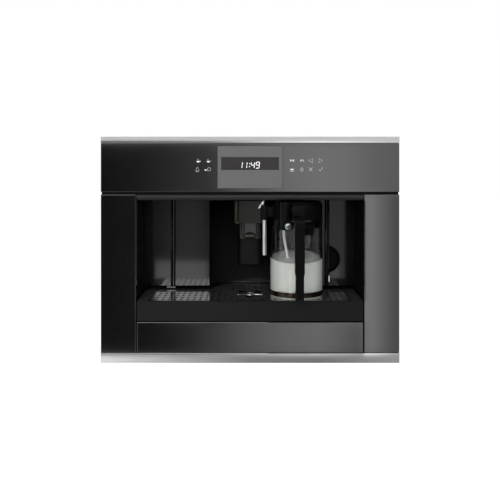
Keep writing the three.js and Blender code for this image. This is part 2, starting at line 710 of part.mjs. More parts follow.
// ---------------------------------------------------------------- front
const front = {};
{
  const outline = block(
    -halfFront + 1,
    halfFront - 1,
    frameFront,
    frameFront + FRAME_LIP_DEPTH,
    frontBottom + 1.5,
    frontTop - 1.5,
  );
  const opening = block(
    -nicheHalfWidth, nicheHalfWidth, frameFront - 2, frameBack + 2, trayBottom - 1, columnTop + SEAT_GAP,
  );
  const behindPlate = block(
    -halfFront + 1 + FRAME_LIP,
    halfFront - 1 - FRAME_LIP,
    frameBack,
    frameFront + FRAME_LIP_DEPTH + 1,
    frontBottom + 1.5 + FRAME_LIP,
    frontTop - 1.5 - FRAME_LIP,
  );
  front.frame = cutBy(outline, behindPlate, opening);

  // a glass pane with its front edges bevelled
  const pane = (x0, x1, z0, z1) => {
    const c = GLASS_CHAMFER;
    const [cx, cz] = [(x0 + x1) / 2, (z0 + z1) / 2];
    const ring = (inset, y) =>
      rectangleRing(
        cx, cz, (x1 - x0) / 2 - inset, (z1 - z0) / 2 - inset, y,
      ).map(([x, z, depth]) => [x, depth, z]);
    return loft([ring(0, GLASS_THICKNESS), ring(0, c), ring(c, 0)]);
  };
  const plateTop = glassTop - DISPLAY_PLATE_DROP;
  const plateBottom = plateTop - DISPLAY_PLATE_HEIGHT;
  const plateHole = block(
    -DISPLAY_PLATE_WIDTH / 2 - SEAT_GAP,
    DISPLAY_PLATE_WIDTH / 2 + SEAT_GAP,
    -1,
    DISPLAY_PLATE_THICKNESS + SEAT_GAP,
    plateBottom - SEAT_GAP,
    plateTop + SEAT_GAP,
  );
  front.controlGlass = cutBy(pane(-halfFront, halfFront, controlBottom, glassTop), plateHole);
  const windowTop = plateTop - WINDOW_DROP;
  const windowHole = (gap, y0, y1) =>
    block(
      -WINDOW_WIDTH / 2 - gap,
      WINDOW_WIDTH / 2 + gap,
      y0,
      y1,
      windowTop - WINDOW_HEIGHT - gap,
      windowTop + gap,
    );
  const plate = block(
    -DISPLAY_PLATE_WIDTH / 2, DISPLAY_PLATE_WIDTH / 2, 0, DISPLAY_PLATE_THICKNESS, plateBottom, plateTop,
  );
  front.displayPlate = cutBy(plate, windowHole(SEAT_GAP, -1, DISPLAY_PLATE_THICKNESS + 1));
  front.displayWindow = windowHole(0, 0.2, DISPLAY_PLATE_THICKNESS);
  front.leftGlass = pane(-halfFront, -halfOpening, lowerGlassBottom, columnTop);
  front.rightGlass = mirrored(front.leftGlass);
  front.lowerGlass = pane(
    -halfOpening + PANEL_GAP, halfOpening - PANEL_GAP, lowerGlassBottom, lowerGlassTop,
  );

  // steel trims: folded strips that wrap over the top and bottom edges of the frame
  const trim = (z0, z1, wrapZ0, wrapZ1) =>
    joined(
      block(-halfFront, halfFront, -0.5, GLASS_THICKNESS, z0, z1),
      block(-halfFront, halfFront, GLASS_THICKNESS - 0.5, TRIM_DEPTH, wrapZ0, wrapZ1),
    );
  front.topTrim = trim(topTrimBottom, frontTop, frontTop - 1.2, frontTop);
  front.bottomTrim = trim(frontBottom, bottomTrimTop, frontBottom, frontBottom + 1.2);

  // the rounded lip over the niche
  const lip = new THREE.Shape();
  lip.moveTo(frameFront + LINTEL_DEPTH, nicheTop);
  lip.lineTo(frameFront + LINTEL_DEPTH, nicheTop + LINTEL_HEIGHT);
  lip.lineTo(frameFront + 1, nicheTop + LINTEL_HEIGHT);
  lip.quadraticCurveTo(2.2, nicheTop + LINTEL_HEIGHT, 2.2, nicheTop + LINTEL_HEIGHT * 0.55);
  lip.quadraticCurveTo(2.2, nicheTop + 1, frameFront + 3, nicheTop);
  front.lintel = prism(lip, ACROSS, -halfOpening + SEAT_GAP, halfOpening - SEAT_GAP, 5);

  front.controlBoard = block(
    -BOARD_HALF_WIDTH,
    BOARD_HALF_WIDTH,
    frameBack + SEAT_GAP,
    frameBack + SEAT_GAP + BOARD_THICKNESS,
    controlBottom + BOARD_EDGE,
    caseTop - BOARD_EDGE,
  );
}

// ---------------------------------------------------------------- cup niche
const niche = {};
{
  const wallOut = nicheHalfWidth + WALL;
  const runnerTop = trayBottom - SEAT_GAP;
  const sideFrom = caseFront;
  const edgeX = DOOR_END + DOOR_SIDE_GAP;
  const upperSide = block(nicheHalfWidth, wallOut, sideFrom, NICHE_DEPTH + WALL, trayTop - 2, nicheTop);
  const lowerSide = block(nicheHalfWidth, wallOut, sideFrom, TRAY_DEPTH + 4, runnerTop - WALL, trayTop);
  const runner = block(
    nicheHalfWidth - 12, nicheHalfWidth + WALL / 2, sideFrom, TRAY_DEPTH + 4, runnerTop - WALL, runnerTop,
  );
  const backPanel = block(
    edgeX, nicheHalfWidth + WALL / 2, NICHE_DEPTH, NICHE_DEPTH + WALL, panelBottom, nicheTop,
  );
  const foot = block(nicheHalfWidth - 3, wallOut, sideFrom, TRAY_DEPTH + 4, baseTop + SEAT_GAP, runnerTop);
  const rightLiner = joined(upperSide, lowerSide, runner, backPanel, foot);

  // the left liner carries the door's lower hinge lug
  const lugRib = block(
    -edgeX - 8, -edgeX, NICHE_DEPTH + WALL / 2, doorBarY + 6, panelBottom - 4.5, panelBottom + 12,
  );
  const lug = block(
    -edgeX - 8,
    -DOOR_BAR_X + 5,
    doorBarY - 5,
    doorBarY + 6,
    panelBottom - 4.5,
    panelBottom - 4.5 + HINGE_LUG,
  );
  const pinHole = rod(
    HINGE_PIN_RADIUS + RUNNING_GAP, "z", panelBottom - 8, panelBottom + 1, [-DOOR_BAR_X, doorBarY], 12,
  );
  niche.leftWall = joined(mirrored(rightLiner), cutBy(joined(lugRib, lug), pinHole));

  // the right liner has a half-round finger scoop beside the door's free edge
  const scoopX = edgeX - (SCOOP_RADIUS - SCOOP_REACH);
  const scoopHole = rod(
    SCOOP_RADIUS, "y", NICHE_DEPTH - 3, NICHE_DEPTH + SCOOP_DEPTH, [scoopX, scoopZ], 28,
  );
  const scoopCup = rod(
    SCOOP_RADIUS + WALL, "y", NICHE_DEPTH, NICHE_DEPTH + SCOOP_DEPTH + WALL, [scoopX, scoopZ], 28,
  );
  const besideDoor = block(edgeX, nicheHalfWidth, NICHE_DEPTH, NICHE_DEPTH + 60, panelBottom, nicheTop);
  const cup = scoopCup.intersect(besideDoor);
  niche.rightWall = cutBy(joined(rightLiner, cup), scoopHole);

  const ceiling = joined(
    block(
      -wallOut,
      wallOut,
      frameFront + LINTEL_DEPTH + SEAT_GAP,
      NICHE_DEPTH + WALL + 2,
      ceilingBottom,
      ceilingTop,
    ),
    block(-BAY_HALF_WIDTH, BAY_HALF_WIDTH, NICHE_DEPTH, TRAY_DEPTH + 4, ceilingBottom, ceilingTop),
  );
  const topPinHole = rod(
    HINGE_PIN_RADIUS + RUNNING_GAP, "z", ceilingBottom - 2, ceilingTop + 2, [-DOOR_BAR_X, doorBarY], 12,
  );
  const lampHole = block(
    -LAMP_WIDTH / 2 - SEAT_GAP,
    LAMP_WIDTH / 2 + SEAT_GAP,
    LAMP_SETBACK - SEAT_GAP,
    LAMP_SETBACK + LAMP_DEPTH + SEAT_GAP,
    ceilingBottom - 2,
    ceilingTop + 2,
  );
  niche.ceiling = cutBy(ceiling, topPinHole, lampHole);
  niche.lamp = joined(
    block(
      -LAMP_WIDTH / 2,
      LAMP_WIDTH / 2,
      LAMP_SETBACK,
      LAMP_SETBACK + LAMP_DEPTH,
      ceilingBottom,
      ceilingTop + 1,
    ),
    block(
      -LAMP_WIDTH / 2 - 3,
      LAMP_WIDTH / 2 + 3,
      LAMP_SETBACK - 3,
      LAMP_SETBACK + LAMP_DEPTH + 3,
      ceilingTop + SEAT_GAP,
      ceilingTop + 3,
    ),
  );

  // walls and floor of the bay behind the service door, and the shelf that the water tank stands on
  const bayWallX = BAY_HALF_WIDTH;
  const bayWallOut = BAY_HALF_WIDTH + WALL;
  const bayFrom = NICHE_DEPTH + SCOOP_DEPTH + 3;
  const upperWall = block(bayWallX, bayWallOut, bayFrom, BAY_BACK_Y, trayTop + 2, ceilingBottom - SEAT_GAP);
  const lowerWall = block(
    bayWallX, bayWallOut, TRAY_DEPTH + 5, BAY_BACK_Y, baseTop + SEAT_GAP, trayTop + 3,
  );
  const bayFloor = block(
    -bayWallX - WALL / 2, bayWallX + WALL / 2, TRAY_DEPTH + 5, BAY_BACK_Y, trayTop - WALL, trayTop,
  );
  const bayBack = block(
    -bayWallOut, bayWallOut, BAY_BACK_Y - WALL, BAY_BACK_Y, trayTop - WALL, ceilingBottom - SEAT_GAP,
  );
  const tankShelf = block(
    bayWallX + WALL / 2,
    CASE_HALF_WIDTH - SHEET - SEAT_GAP,
    TANK_Y[0] - 4,
    BAY_BACK_Y,
    tankBottom - SEAT_GAP - 3,
    tankBottom - SEAT_GAP,
  );
  const shelfLeg = block(
    CASE_HALF_WIDTH - 8,
    CASE_HALF_WIDTH - 5,
    TANK_Y[0] - 4,
    BAY_BACK_Y,
    baseTop + SEAT_GAP,
    tankBottom - SEAT_GAP - 1,
  );
  const valveHole = rod(7, "z", tankBottom - 12, tankBottom + 2, [(TANK_X[0] + TANK_X[1]) / 2, PUMP_Y], 12);
  const ceilingBay = block(
    -bayWallOut,
    bayWallOut,
    TRAY_DEPTH + 5,
    BAY_BACK_Y,
    ceilingBottom - SEAT_GAP - WALL,
    ceilingBottom - SEAT_GAP,
  );
  const throatHole = rod(12, "z", ceilingBottom - 8, ceilingBottom + 2, [THROAT_X + 40, HOPPER_Y + 25], 12);
  niche.innerFrame = cutBy(
    joined(
      upperWall,
      mirrored(upperWall),
      lowerWall,
      mirrored(lowerWall),
      bayFloor,
      bayBack,
      tankShelf,
      shelfLeg,
      ceilingBay,
    ),
    valveHole,
    throatHole,
  );
}

// ---------------------------------------------------------------- drip tray
const tray = {};
{
  const w = trayHalfWidth;
  // the grille's outline: a rounded rectangle with a half-round bay that follows the door's cove
  const grilleOutline = (grow) => {
    const half = grilleHalfWidth + grow;
    const [y0, y1] = [GRILLE_FRONT - grow, GRILLE_BACK + grow];
    const r = GRILLE_CORNER + grow;
    const bayRadius = COVE_RADIUS - 8 + grow;
    const bayAngle = Math.asin((y1 - COVE_CENTRE_Y) / bayRadius);
    const shape = new THREE.Shape();
    shape.moveTo(-half + r, y0);
    shape.lineTo(half - r, y0);
    shape.absarc(half - r, y0 + r, r, -Math.PI / 2, 0);
    shape.lineTo(half, y1 - r);
    shape.absarc(half - r, y1 - r, r, 0, Math.PI / 2);
    shape.absarc(0, COVE_CENTRE_Y, bayRadius, bayAngle, Math.PI - bayAngle);
    shape.lineTo(-half + r, y1);
    shape.absarc(-half + r, y1 - r, r, Math.PI / 2, Math.PI);
    shape.lineTo(-half, y0 + r);
    shape.absarc(-half + r, y0 + r, r, Math.PI, 1.5 * Math.PI);
    return shape;
  };
  const grilleTop = trayTop;
  const grilleBottom = grilleTop - GRILLE_THICKNESS;
  const ledgeTop = grilleBottom - SEAT_GAP;
  const deckBottom = ledgeTop - 2;
  const body = prism(roundedRectangle(-w, w, 0, TRAY_DEPTH, 3), UP, trayBottom, trayTop, 3);
  const basin = prism(
    roundedRectangle(-w + TRAY_WALL, w - TRAY_WALL, TRAY_FRONT_WALL, TRAY_DEPTH - TRAY_WALL, 6),
    UP,
    trayBottom + TRAY_WALL,
    deckBottom,
    3,
  );
  const mouth = prism(grilleOutline(-TRAY_LEDGE), UP, deckBottom - 1, trayTop + 1, 4);
  const recess = prism(grilleOutline(0.5), UP, ledgeTop, trayTop + 1, 5);
  // a split tube that guides the float's stem and carries its cap while the tray is empty
  const floatTop = trayTop - FLOAT_REST;
  const capBottom = floatTop - FLOAT_HEIGHT;
  const guideBore = FLOAT_STEM + RUNNING_GAP;
  const floatGuide = cutBy(
    rod(
      guideBore + FLOAT_GUIDE_WALL,
      "z",
      trayBottom + TRAY_WALL / 2,
      capBottom - SEAT_GAP,
      [0, ROSETTE_Y],
      16,
    ),
    rod(guideBore, "z", trayBottom + TRAY_WALL, trayTop, [0, ROSETTE_Y], 16),
    block(-1, 1, ROSETTE_Y - 20, ROSETTE_Y + 20, trayBottom + TRAY_WALL, trayTop),
  );
  tray.body = joined(cutBy(body, basin, mouth, recess), floatGuide);

  // drain slots, left out where the rosette of drain holes is
  const slots = [];
  const slotAt = (x, y) =>
    block(
      x - SLOT_WIDTH / 2,
      x + SLOT_WIDTH / 2,
      y - SLOT_LENGTH / 2,
      y + SLOT_LENGTH / 2,
      grilleBottom - 1,
      grilleTop + 1,
    );
  const insideGrille = (x, y) => {
    const inRectangle = Math.abs(x) < grilleHalfWidth - SLOT_MARGIN && y < GRILLE_BACK - SLOT_MARGIN;
    const inBay = Math.hypot(x, y - COVE_CENTRE_Y) < COVE_RADIUS - 8 - SLOT_MARGIN - SLOT_LENGTH / 2;
    return inRectangle || inBay;
  };
  const columns = Math.floor(grilleHalfWidth / SLOT_PITCH_X);
  const rows = Math.floor((COVE_CENTRE_Y + COVE_RADIUS - SLOT_FIRST_ROW) / SLOT_PITCH_Y);
  for (let row = 0; row <= rows; row += 1) {
    for (let column = -columns; column <= columns; column += 1) {
      const x = column * SLOT_PITCH_X;
      const y = SLOT_FIRST_ROW + row * SLOT_PITCH_Y;
      const nearRosette = Math.hypot(x, y - ROSETTE_Y) < ROSETTE_CLEAR;
      if (insideGrille(x, y) && !nearRosette) slots.push(slotAt(x, y));
    }
  }
  const rosette = [];
  for (const angle of [-Math.PI / 2, Math.PI / 3.2, Math.PI - Math.PI / 3.2]) {
    const oval = new THREE.Shape();
    oval.absellipse(
      ROSETTE_RADIUS * Math.cos(angle),
      ROSETTE_Y + ROSETTE_RADIUS * Math.sin(angle),
      ROSETTE_HOLE_WIDTH / 2,
      ROSETTE_HOLE_LENGTH / 2,
      0,
      2 * Math.PI,
    );
    rosette.push(prism(oval, UP, grilleBottom - 1, grilleTop + 1, 9));
  }
  const floatHole = rod(
    FLOAT_RADIUS + RUNNING_GAP, "z", grilleBottom - 1, grilleTop + 1, [0, ROSETTE_Y], 16,
  );
  const plate = prism(grilleOutline(0), UP, grilleBottom, grilleTop, 5);
  tray.grille = plate.subtract(wasm.Manifold.union([...slots, ...rosette, floatHole]));

  tray.float = turned(
    [
      [0, capBottom - FLOAT_SINK],
      [FLOAT_STEM, capBottom - FLOAT_SINK],
      [FLOAT_STEM, capBottom],
      [FLOAT_RADIUS - 1, capBottom],
      [FLOAT_RADIUS, capBottom + 1],
      [FLOAT_RADIUS, floatTop - 1],
      [FLOAT_RADIUS - 1.5, floatTop],
      [0, floatTop],
    ],
    0,
    ROSETTE_Y,
    16,
  );
}

// ---------------------------------------------------------------- service door
const door = {};
{
  const flatAngle = Math.asin((NICHE_DEPTH - COVE_CENTRE_Y) / COVE_RADIUS);
  const backY = NICHE_DEPTH + DOOR_WALL;
  const outRadius = COVE_RADIUS + DOOR_WALL;
  const outAngle = Math.asin((backY - COVE_CENTRE_Y) / outRadius);
  const grooveY = NICHE_DEPTH + DOOR_GROOVE;
  // plan of the moulding: flat wings, a groove behind each bar and a round cove between the wings
  const plan = new THREE.Shape();
  plan.moveTo(-DOOR_END, grooveY);
  plan.lineTo(-DOOR_HALF_WIDTH, grooveY);
  plan.lineTo(-DOOR_HALF_WIDTH, NICHE_DEPTH);
  plan.absarc(0, COVE_CENTRE_Y, COVE_RADIUS, Math.PI - flatAngle, flatAngle, true);
  plan.lineTo(DOOR_HALF_WIDTH, NICHE_DEPTH);
  plan.lineTo(DOOR_HALF_WIDTH, grooveY);
  plan.lineTo(DOOR_END, grooveY);
  plan.lineTo(DOOR_END, grooveY + DOOR_WALL);
  plan.lineTo(DOOR_HALF_WIDTH - DOOR_WALL, grooveY + DOOR_WALL);
  plan.lineTo(DOOR_HALF_WIDTH - DOOR_WALL, backY);
  plan.absarc(0, COVE_CENTRE_Y, outRadius, outAngle, Math.PI - outAngle);
  plan.lineTo(-DOOR_HALF_WIDTH + DOOR_WALL, backY);
  plan.lineTo(-DOOR_HALF_WIDTH + DOOR_WALL, grooveY + DOOR_WALL);
  plan.lineTo(-DOOR_END, grooveY + DOOR_WALL);
  const shell = prism(plan, UP, panelBottom, doorTop, 18);
  const nozzleHole = rod(
    STEAM_NOZZLE_RADIUS + SEAT_GAP, "y", NICHE_DEPTH - 2, backY + 2, [NOZZLE_SOCKET_X, nozzleSocketZ], 16,
  );
  door.panel = cutBy(shell, nozzleHole);

  const bar = rod(DOOR_BAR_RADIUS, "z", panelBottom, doorTop, [DOOR_BAR_X, doorBarY], 16);
  door.gripBar = bar;
  const pin = rod(
    HINGE_PIN_RADIUS,
    "z",
    panelBottom - HINGE_PIN_LENGTH + 1,
    doorTop + HINGE_PIN_LENGTH,
    [-DOOR_BAR_X, doorBarY],
    12,
  );
  door.hingeBar = joined(mirrored(bar), pin);

  // the column that the coffee spout slides on, seated in the cove
  const seatRadius = COVE_RADIUS - SEAT_GAP;
  const seatAngle = Math.asin(COLUMN_HALF_WIDTH / seatRadius);
  const columnPlan = new THREE.Shape();
  const r = 12;
  columnPlan.moveTo(-COLUMN_HALF_WIDTH + r, COLUMN_FRONT_Y);
  columnPlan.lineTo(COLUMN_HALF_WIDTH - r, COLUMN_FRONT_Y);
  columnPlan.absarc(COLUMN_HALF_WIDTH - r, COLUMN_FRONT_Y + r, r, -Math.PI / 2, 0);
  columnPlan.absarc(0, COVE_CENTRE_Y, seatRadius, Math.PI / 2 - seatAngle, Math.PI / 2 + seatAngle);
  columnPlan.absarc(-COLUMN_HALF_WIDTH + r, COLUMN_FRONT_Y + r, r, Math.PI, 1.5 * Math.PI);
  const columnRoom = prism(
    roundedRectangle(
      -COLUMN_HALF_WIDTH + DOOR_WALL,
      COLUMN_HALF_WIDTH - DOOR_WALL,
      COLUMN_FRONT_Y + DOOR_WALL,
      COVE_CENTRE_Y + 77,
      r - DOOR_WALL,
    ),
    UP,
    columnBottom - 1,
    doorTop - DOOR_WALL,
    4,
  );
  door.column = cutBy(prism(columnPlan, UP, columnBottom, doorTop, 8), columnRoom);

  const nozzleBack = backY + 12;
  const nozzle = joined(
    rod(
      STEAM_NOZZLE_RADIUS,
      "y",
      NICHE_DEPTH - STEAM_NOZZLE_LENGTH,
      nozzleBack,
      [NOZZLE_SOCKET_X, nozzleSocketZ],
      16,
    ),
    rod(STEAM_NOZZLE_RADIUS + 4, "y", backY + SEAT_GAP, nozzleBack, [NOZZLE_SOCKET_X, nozzleSocketZ], 16),
  );
  door.steamNozzle = cutBy(
    nozzle,
    rod(
      1.5, "y", NICHE_DEPTH - STEAM_NOZZLE_LENGTH - 1, nozzleBack + 1, [NOZZLE_SOCKET_X, nozzleSocketZ], 10,
    ),
  );
}

// ---------------------------------------------------------------- coffee spout
const spout = {};
{
  const coverBack = COLUMN_FRONT_Y + SPOUT_WRAP;
  const w = SPOUT_HALF_WIDTH;
  const cover = prism(
    roundedRectangle(-w, w, SPOUT_FRONT_Y, coverBack, SPOUT_CORNER), UP, spoutBottom, doorTop, 5,
  );
  const squareBack = block(-w, w, coverBack - SPOUT_CORNER - 1, coverBack, spoutBottom, doorTop);
  const columnRoom = block(
    -COLUMN_HALF_WIDTH - RUNNING_GAP,
    COLUMN_HALF_WIDTH + RUNNING_GAP,
    COLUMN_FRONT_Y - RUNNING_GAP,
    coverBack + 2,
    spoutBottom - 2,
    doorTop + 2,
  );
  const hollow = prism(
    roundedRectangle(
      -w + SPOUT_WALL,
      w - SPOUT_WALL,
      SPOUT_FRONT_Y + SPOUT_WALL,
      COLUMN_FRONT_Y - SPOUT_WALL - 1,
      SPOUT_CORNER - 3,
    ),
    UP,
    spoutBottom - 1,
    doorTop - SPOUT_WALL,
    4,
  );
  spout.cover = cutBy(joined(cover, squareBack), columnRoom, hollow);

  // two outlets under an arch, on one block that plugs into the cover from below
  const half = NOZZLE_SPACING / 2;
  const tube = (x) =>
    turned(
      [
        [0, nozzleTip],
        [NOZZLE_RADIUS - 1, nozzleTip],
        [NOZZLE_RADIUS, nozzleTip + 2],
        [NOZZLE_RADIUS + 0.8, spoutBottom + 8],
        [0, spoutBottom + 8],
      ],
      x,
      NOZZLE_CENTRE_Y,
      14,
    );
  const yHalf = 11;
  const archTop = spoutBottom - BRIDGE_DROP;
  const web = prism(
    (() => {
      const outline = new THREE.Shape();
      outline.moveTo(-half + 4.5, archTop);
      outline.quadraticCurveTo(0, archTop + 9, half - 4.5, archTop);
      outline.lineTo(half - 4.5, spoutBottom + 6);
      outline.lineTo(-half + 4.5, spoutBottom + 6);
      return outline;
    })(),
    BACK,
    NOZZLE_CENTRE_Y - yHalf + 5,
    NOZZLE_CENTRE_Y + yHalf - 2,
    6,
  );
  const plug = block(
    -w + SPOUT_WALL + SEAT_GAP,
    w - SPOUT_WALL - SEAT_GAP,
    NOZZLE_CENTRE_Y - yHalf,
    NOZZLE_CENTRE_Y + yHalf,
    spoutBottom + 4,
    spoutBottom + 14,
  );
  const bores = [half, -half].map(
    (x) => rod(NOZZLE_BORE, "z", nozzleTip - 1, spoutBottom + 16, [x, NOZZLE_CENTRE_Y], 12)
  );
  spout.nozzles = cutBy(joined(tube(half), tube(-half), web, plug), ...bores);
}

// ---------------------------------------------------------------- milk jug
const jug = {};
{
  const [x, y, r] = [JUG_X, JUG_Y, JUG_RADIUS];
  const f = JUG_FOOT_ROUND;
  jug.glass = turned(
    [
      [0, jugBottom],
      [r - f, jugBottom],
      [r - f * 0.3, jugBottom + f * 0.3],
      [r, jugBottom + f],
      [r, jugRim],
      [r - JUG_WALL, jugRim],
      [r - JUG_WALL, jugBottom + JUG_FLOOR + f * 0.6],
      [r - JUG_WALL - f * 0.6, jugBottom + JUG_FLOOR],
      [0, jugBottom + JUG_FLOOR],
    ],
    x,
    y,
    JUG_SIDES,
  );

  const bandBottom = jugBottom + BAND_LIFT;
  const bandIn = r + SEAT_GAP;
  jug.band = turned(
    [
      [bandIn, bandBottom],
      [bandIn + BAND_THICKNESS, bandBottom],
      [bandIn + BAND_THICKNESS, bandBottom + BAND_HEIGHT],
      [bandIn, bandBottom + BAND_HEIGHT],
      [bandIn, bandBottom],
    ],
    x,
    y,
    JUG_SIDES,
  );

  // lid: a cap with a skirt inside the glass, a boss at the front with the push button, an arm to the milk
  // outlet on the left and a socket at the back for the steam nozzle
  const lidBase = jugRim + SEAT_GAP;
  const cap = turned(
    [
      [0, lidBase - LID_SKIRT],
      [r - JUG_WALL - 1, lidBase - LID_SKIRT],
      [r - JUG_WALL - 1, lidBase],
      [r + 0.5, lidBase],
      [r + 0.5, lidTop - 8],
      [r - 4, lidTop - 1.5],
      [r - 10, lidTop],
      [0, lidTop],
    ],
    x,
    y,
    JUG_SIDES,
  );
  const capHollow = turned(
    [
      [0, lidBase - LID_SKIRT - 1],
      [r - JUG_WALL - 4, lidBase - LID_SKIRT - 1],
      [r - JUG_WALL - 4, lidTop - 6],
      [0, lidTop - 6],
    ],
    x,
    y,
    24,
  );
  const chamber = block(
    x + 2,
    x + 2 + FROTH_BLOCK[0],
    y - FROTH_BLOCK[1] / 2,
    y + FROTH_BLOCK[1] / 2,
    lidBase - LID_SKIRT - FROTH_BLOCK[2] / 2,
    lidTop - 5,
  );
  const bossPlan = roundedRectangle(
    LID_BOSS_X - LID_BOSS_HALF_WIDTH,
    LID_BOSS_X + LID_BOSS_HALF_WIDTH,
    LID_BOSS_FRONT_Y,
    y - r + 24,
    LID_BOSS_HALF_WIDTH,
  );
  const glassRoom = rod(r + SEAT_GAP, "z", jugBottom, lidBase, [x, y], JUG_SIDES);
  const boss = cutBy(prism(bossPlan, UP, lidBossBottom, lidTop - 1, 6), glassRoom);
  const buttonPocket = rod(
    BUTTON_RADIUS + RUNNING_GAP,
    "y",
    LID_BOSS_FRONT_Y - 2,
    LID_BOSS_FRONT_Y + BUTTON_POCKET,
    [BUTTON_X, buttonZ],
    16,
  );
  const buttonSeat = rod(
    BUTTON_RADIUS + 2.2,
    "y",
    LID_BOSS_FRONT_Y,
    LID_BOSS_FRONT_Y + BUTTON_POCKET + 2.5,
    [BUTTON_X, buttonZ],
    16,
  );
  const armZ = [sleeveBottom + 6, sleeveTop];
  const arm = prism(
    polygon([
      [MILK_TUBE_X, MILK_TUBE_Y - 5],
      [x - r + 12, y - 22],
      [x - r + 12, y + 6],
      [MILK_TUBE_X, MILK_TUBE_Y + 4.5],
    ]),
    UP,
    armZ[0],
    armZ[1] - 4,
  );
  const sleeve = rod(SLEEVE_RADIUS, "z", sleeveBottom, sleeveTop, [MILK_TUBE_X, MILK_TUBE_Y], 14);
  const tubeRoom = rod(
    MILK_TUBE_RADIUS + RUNNING_GAP, "z", sleeveBottom - 1, milkTubeTop + 1, [MILK_TUBE_X, MILK_TUBE_Y], 16,
  );
  const socketBack = NICHE_DEPTH - SOCKET_WALL_GAP;
  const socket = rod(SOCKET_RADIUS, "y", y + r - 14, socketBack, [NOZZLE_SOCKET_X, nozzleSocketZ], 16);
  const socketBore = rod(
    STEAM_NOZZLE_RADIUS + 1,
    "y",
    NICHE_DEPTH - STEAM_NOZZLE_LENGTH - 2,
    socketBack + 2,
    [NOZZLE_SOCKET_X, nozzleSocketZ],
    16,
  );
  const dialShaft = rod(6, "y", DIAL_FRONT_Y + DIAL_LENGTH + RUNNING_GAP, y - r + 14, [DIAL_X, dialZ], 16);
  const intakeHole = rod(
    INTAKE_RADIUS + RUNNING_GAP, "z", lidBase - LID_SKIRT - 2, lidBase, [LID_BOSS_X + 2, y], 12,
  );
  const nearlySolidLid = joined(
    cutBy(cap, capHollow.subtract(boss)), chamber, boss, buttonSeat, arm, sleeve, socket, dialShaft,
  );
  jug.lid = cutBy(
    nearlySolidLid,
    buttonPocket,
    tubeRoom,
    socketBore,
    intakeHole,
    glassRoom.subtract(rod(r - JUG_WALL - SEAT_GAP, "z", jugBottom - 1, lidBase + 1, [x, y], JUG_SIDES)),
  );

  jug.intake = cutBy(
    rod(INTAKE_RADIUS, "z", jugBottom + JUG_FLOOR + 4, lidTop - 6 - SEAT_GAP, [LID_BOSS_X + 2, y], 12),
    rod(INTAKE_BORE, "z", jugBottom, lidTop, [LID_BOSS_X + 2, y], 8),
  );

  // handle: a D seen from the side, wide grip above and a narrower foot that meets the band
  const bandFront = y - bandIn - BAND_THICKNESS - SEAT_GAP;
  const lidFront = y - r - 0.5 - SEAT_GAP;
  const [out, inn] = [HANDLE_FRONT_Y, HANDLE_FRONT_Y + HANDLE_THICKNESS];
  const side = new THREE.Shape();
  side.moveTo(bandFront, bandBottom - 1);
  side.lineTo(bandFront, bandBottom + BAND_HEIGHT + 3);
  side.lineTo(inn + 6, bandBottom + BAND_HEIGHT + 3);
  side.quadraticCurveTo(inn, bandBottom + BAND_HEIGHT + 4, inn, bandBottom + BAND_HEIGHT + 14);
  side.lineTo(inn, handleTop - 22);
  side.quadraticCurveTo(inn, handleTop - 10, inn + 12, handleTop - 9);
  side.lineTo(lidFront, handleTop - 9);
  side.lineTo(lidFront, handleTop);
  side.lineTo(out + 14, handleTop);
  side.quadraticCurveTo(out, handleTop, out, handleTop - 16);
  side.lineTo(out, handleBottom + 12);
  side.quadraticCurveTo(out, handleBottom, out + 10, handleBottom);
  side.lineTo(inn, handleBottom);
  side.quadraticCurveTo(inn + 10, handleBottom + 2, bandFront, bandBottom - 1);
  const grip = prism(side, ACROSS, x - HANDLE_WIDTH / 2, x + HANDLE_WIDTH / 2, 6);
  const footSides = [
    block(x + HANDLE_FOOT_WIDTH / 2, x + HANDLE_WIDTH, out - 2, y, handleBottom - 2, handleStep),
    block(x - HANDLE_WIDTH, x - HANDLE_FOOT_WIDTH / 2, out - 2, y, handleBottom - 2, handleStep),
  ];
  const aroundGlass = rod(
    bandIn + BAND_THICKNESS + SEAT_GAP, "z", handleBottom - 4, handleTop + 4, [x, y], JUG_SIDES,
  );
  jug.handle = cutBy(grip, ...footSides, aroundGlass);

  jug.dial = joined(
    rod(DIAL_RADIUS, "y", DIAL_FRONT_Y, DIAL_FRONT_Y + DIAL_LENGTH, [DIAL_X, dialZ], 28),
    block(
      DIAL_X - 1.5,
      DIAL_X + 1.5,
      DIAL_FRONT_Y - 2,
      DIAL_FRONT_Y + 1,
      dialZ - DIAL_RADIUS + 1,
      dialZ + DIAL_RADIUS - 1,
    ),
  );

  jug.button = rod(
    BUTTON_RADIUS, "y", LID_BOSS_FRONT_Y - BUTTON_PROUD, LID_BOSS_FRONT_Y + 1, [BUTTON_X, buttonZ], 16,
  );

  jug.milkTube = cutBy(
    rod(MILK_TUBE_RADIUS, "z", milkTubeTip, milkTubeTop, [MILK_TUBE_X, MILK_TUBE_Y], 16),
    rod(MILK_TUBE_BORE, "z", milkTubeTip - 1, milkTubeTop + 1, [MILK_TUBE_X, MILK_TUBE_Y], 16),
  );
}

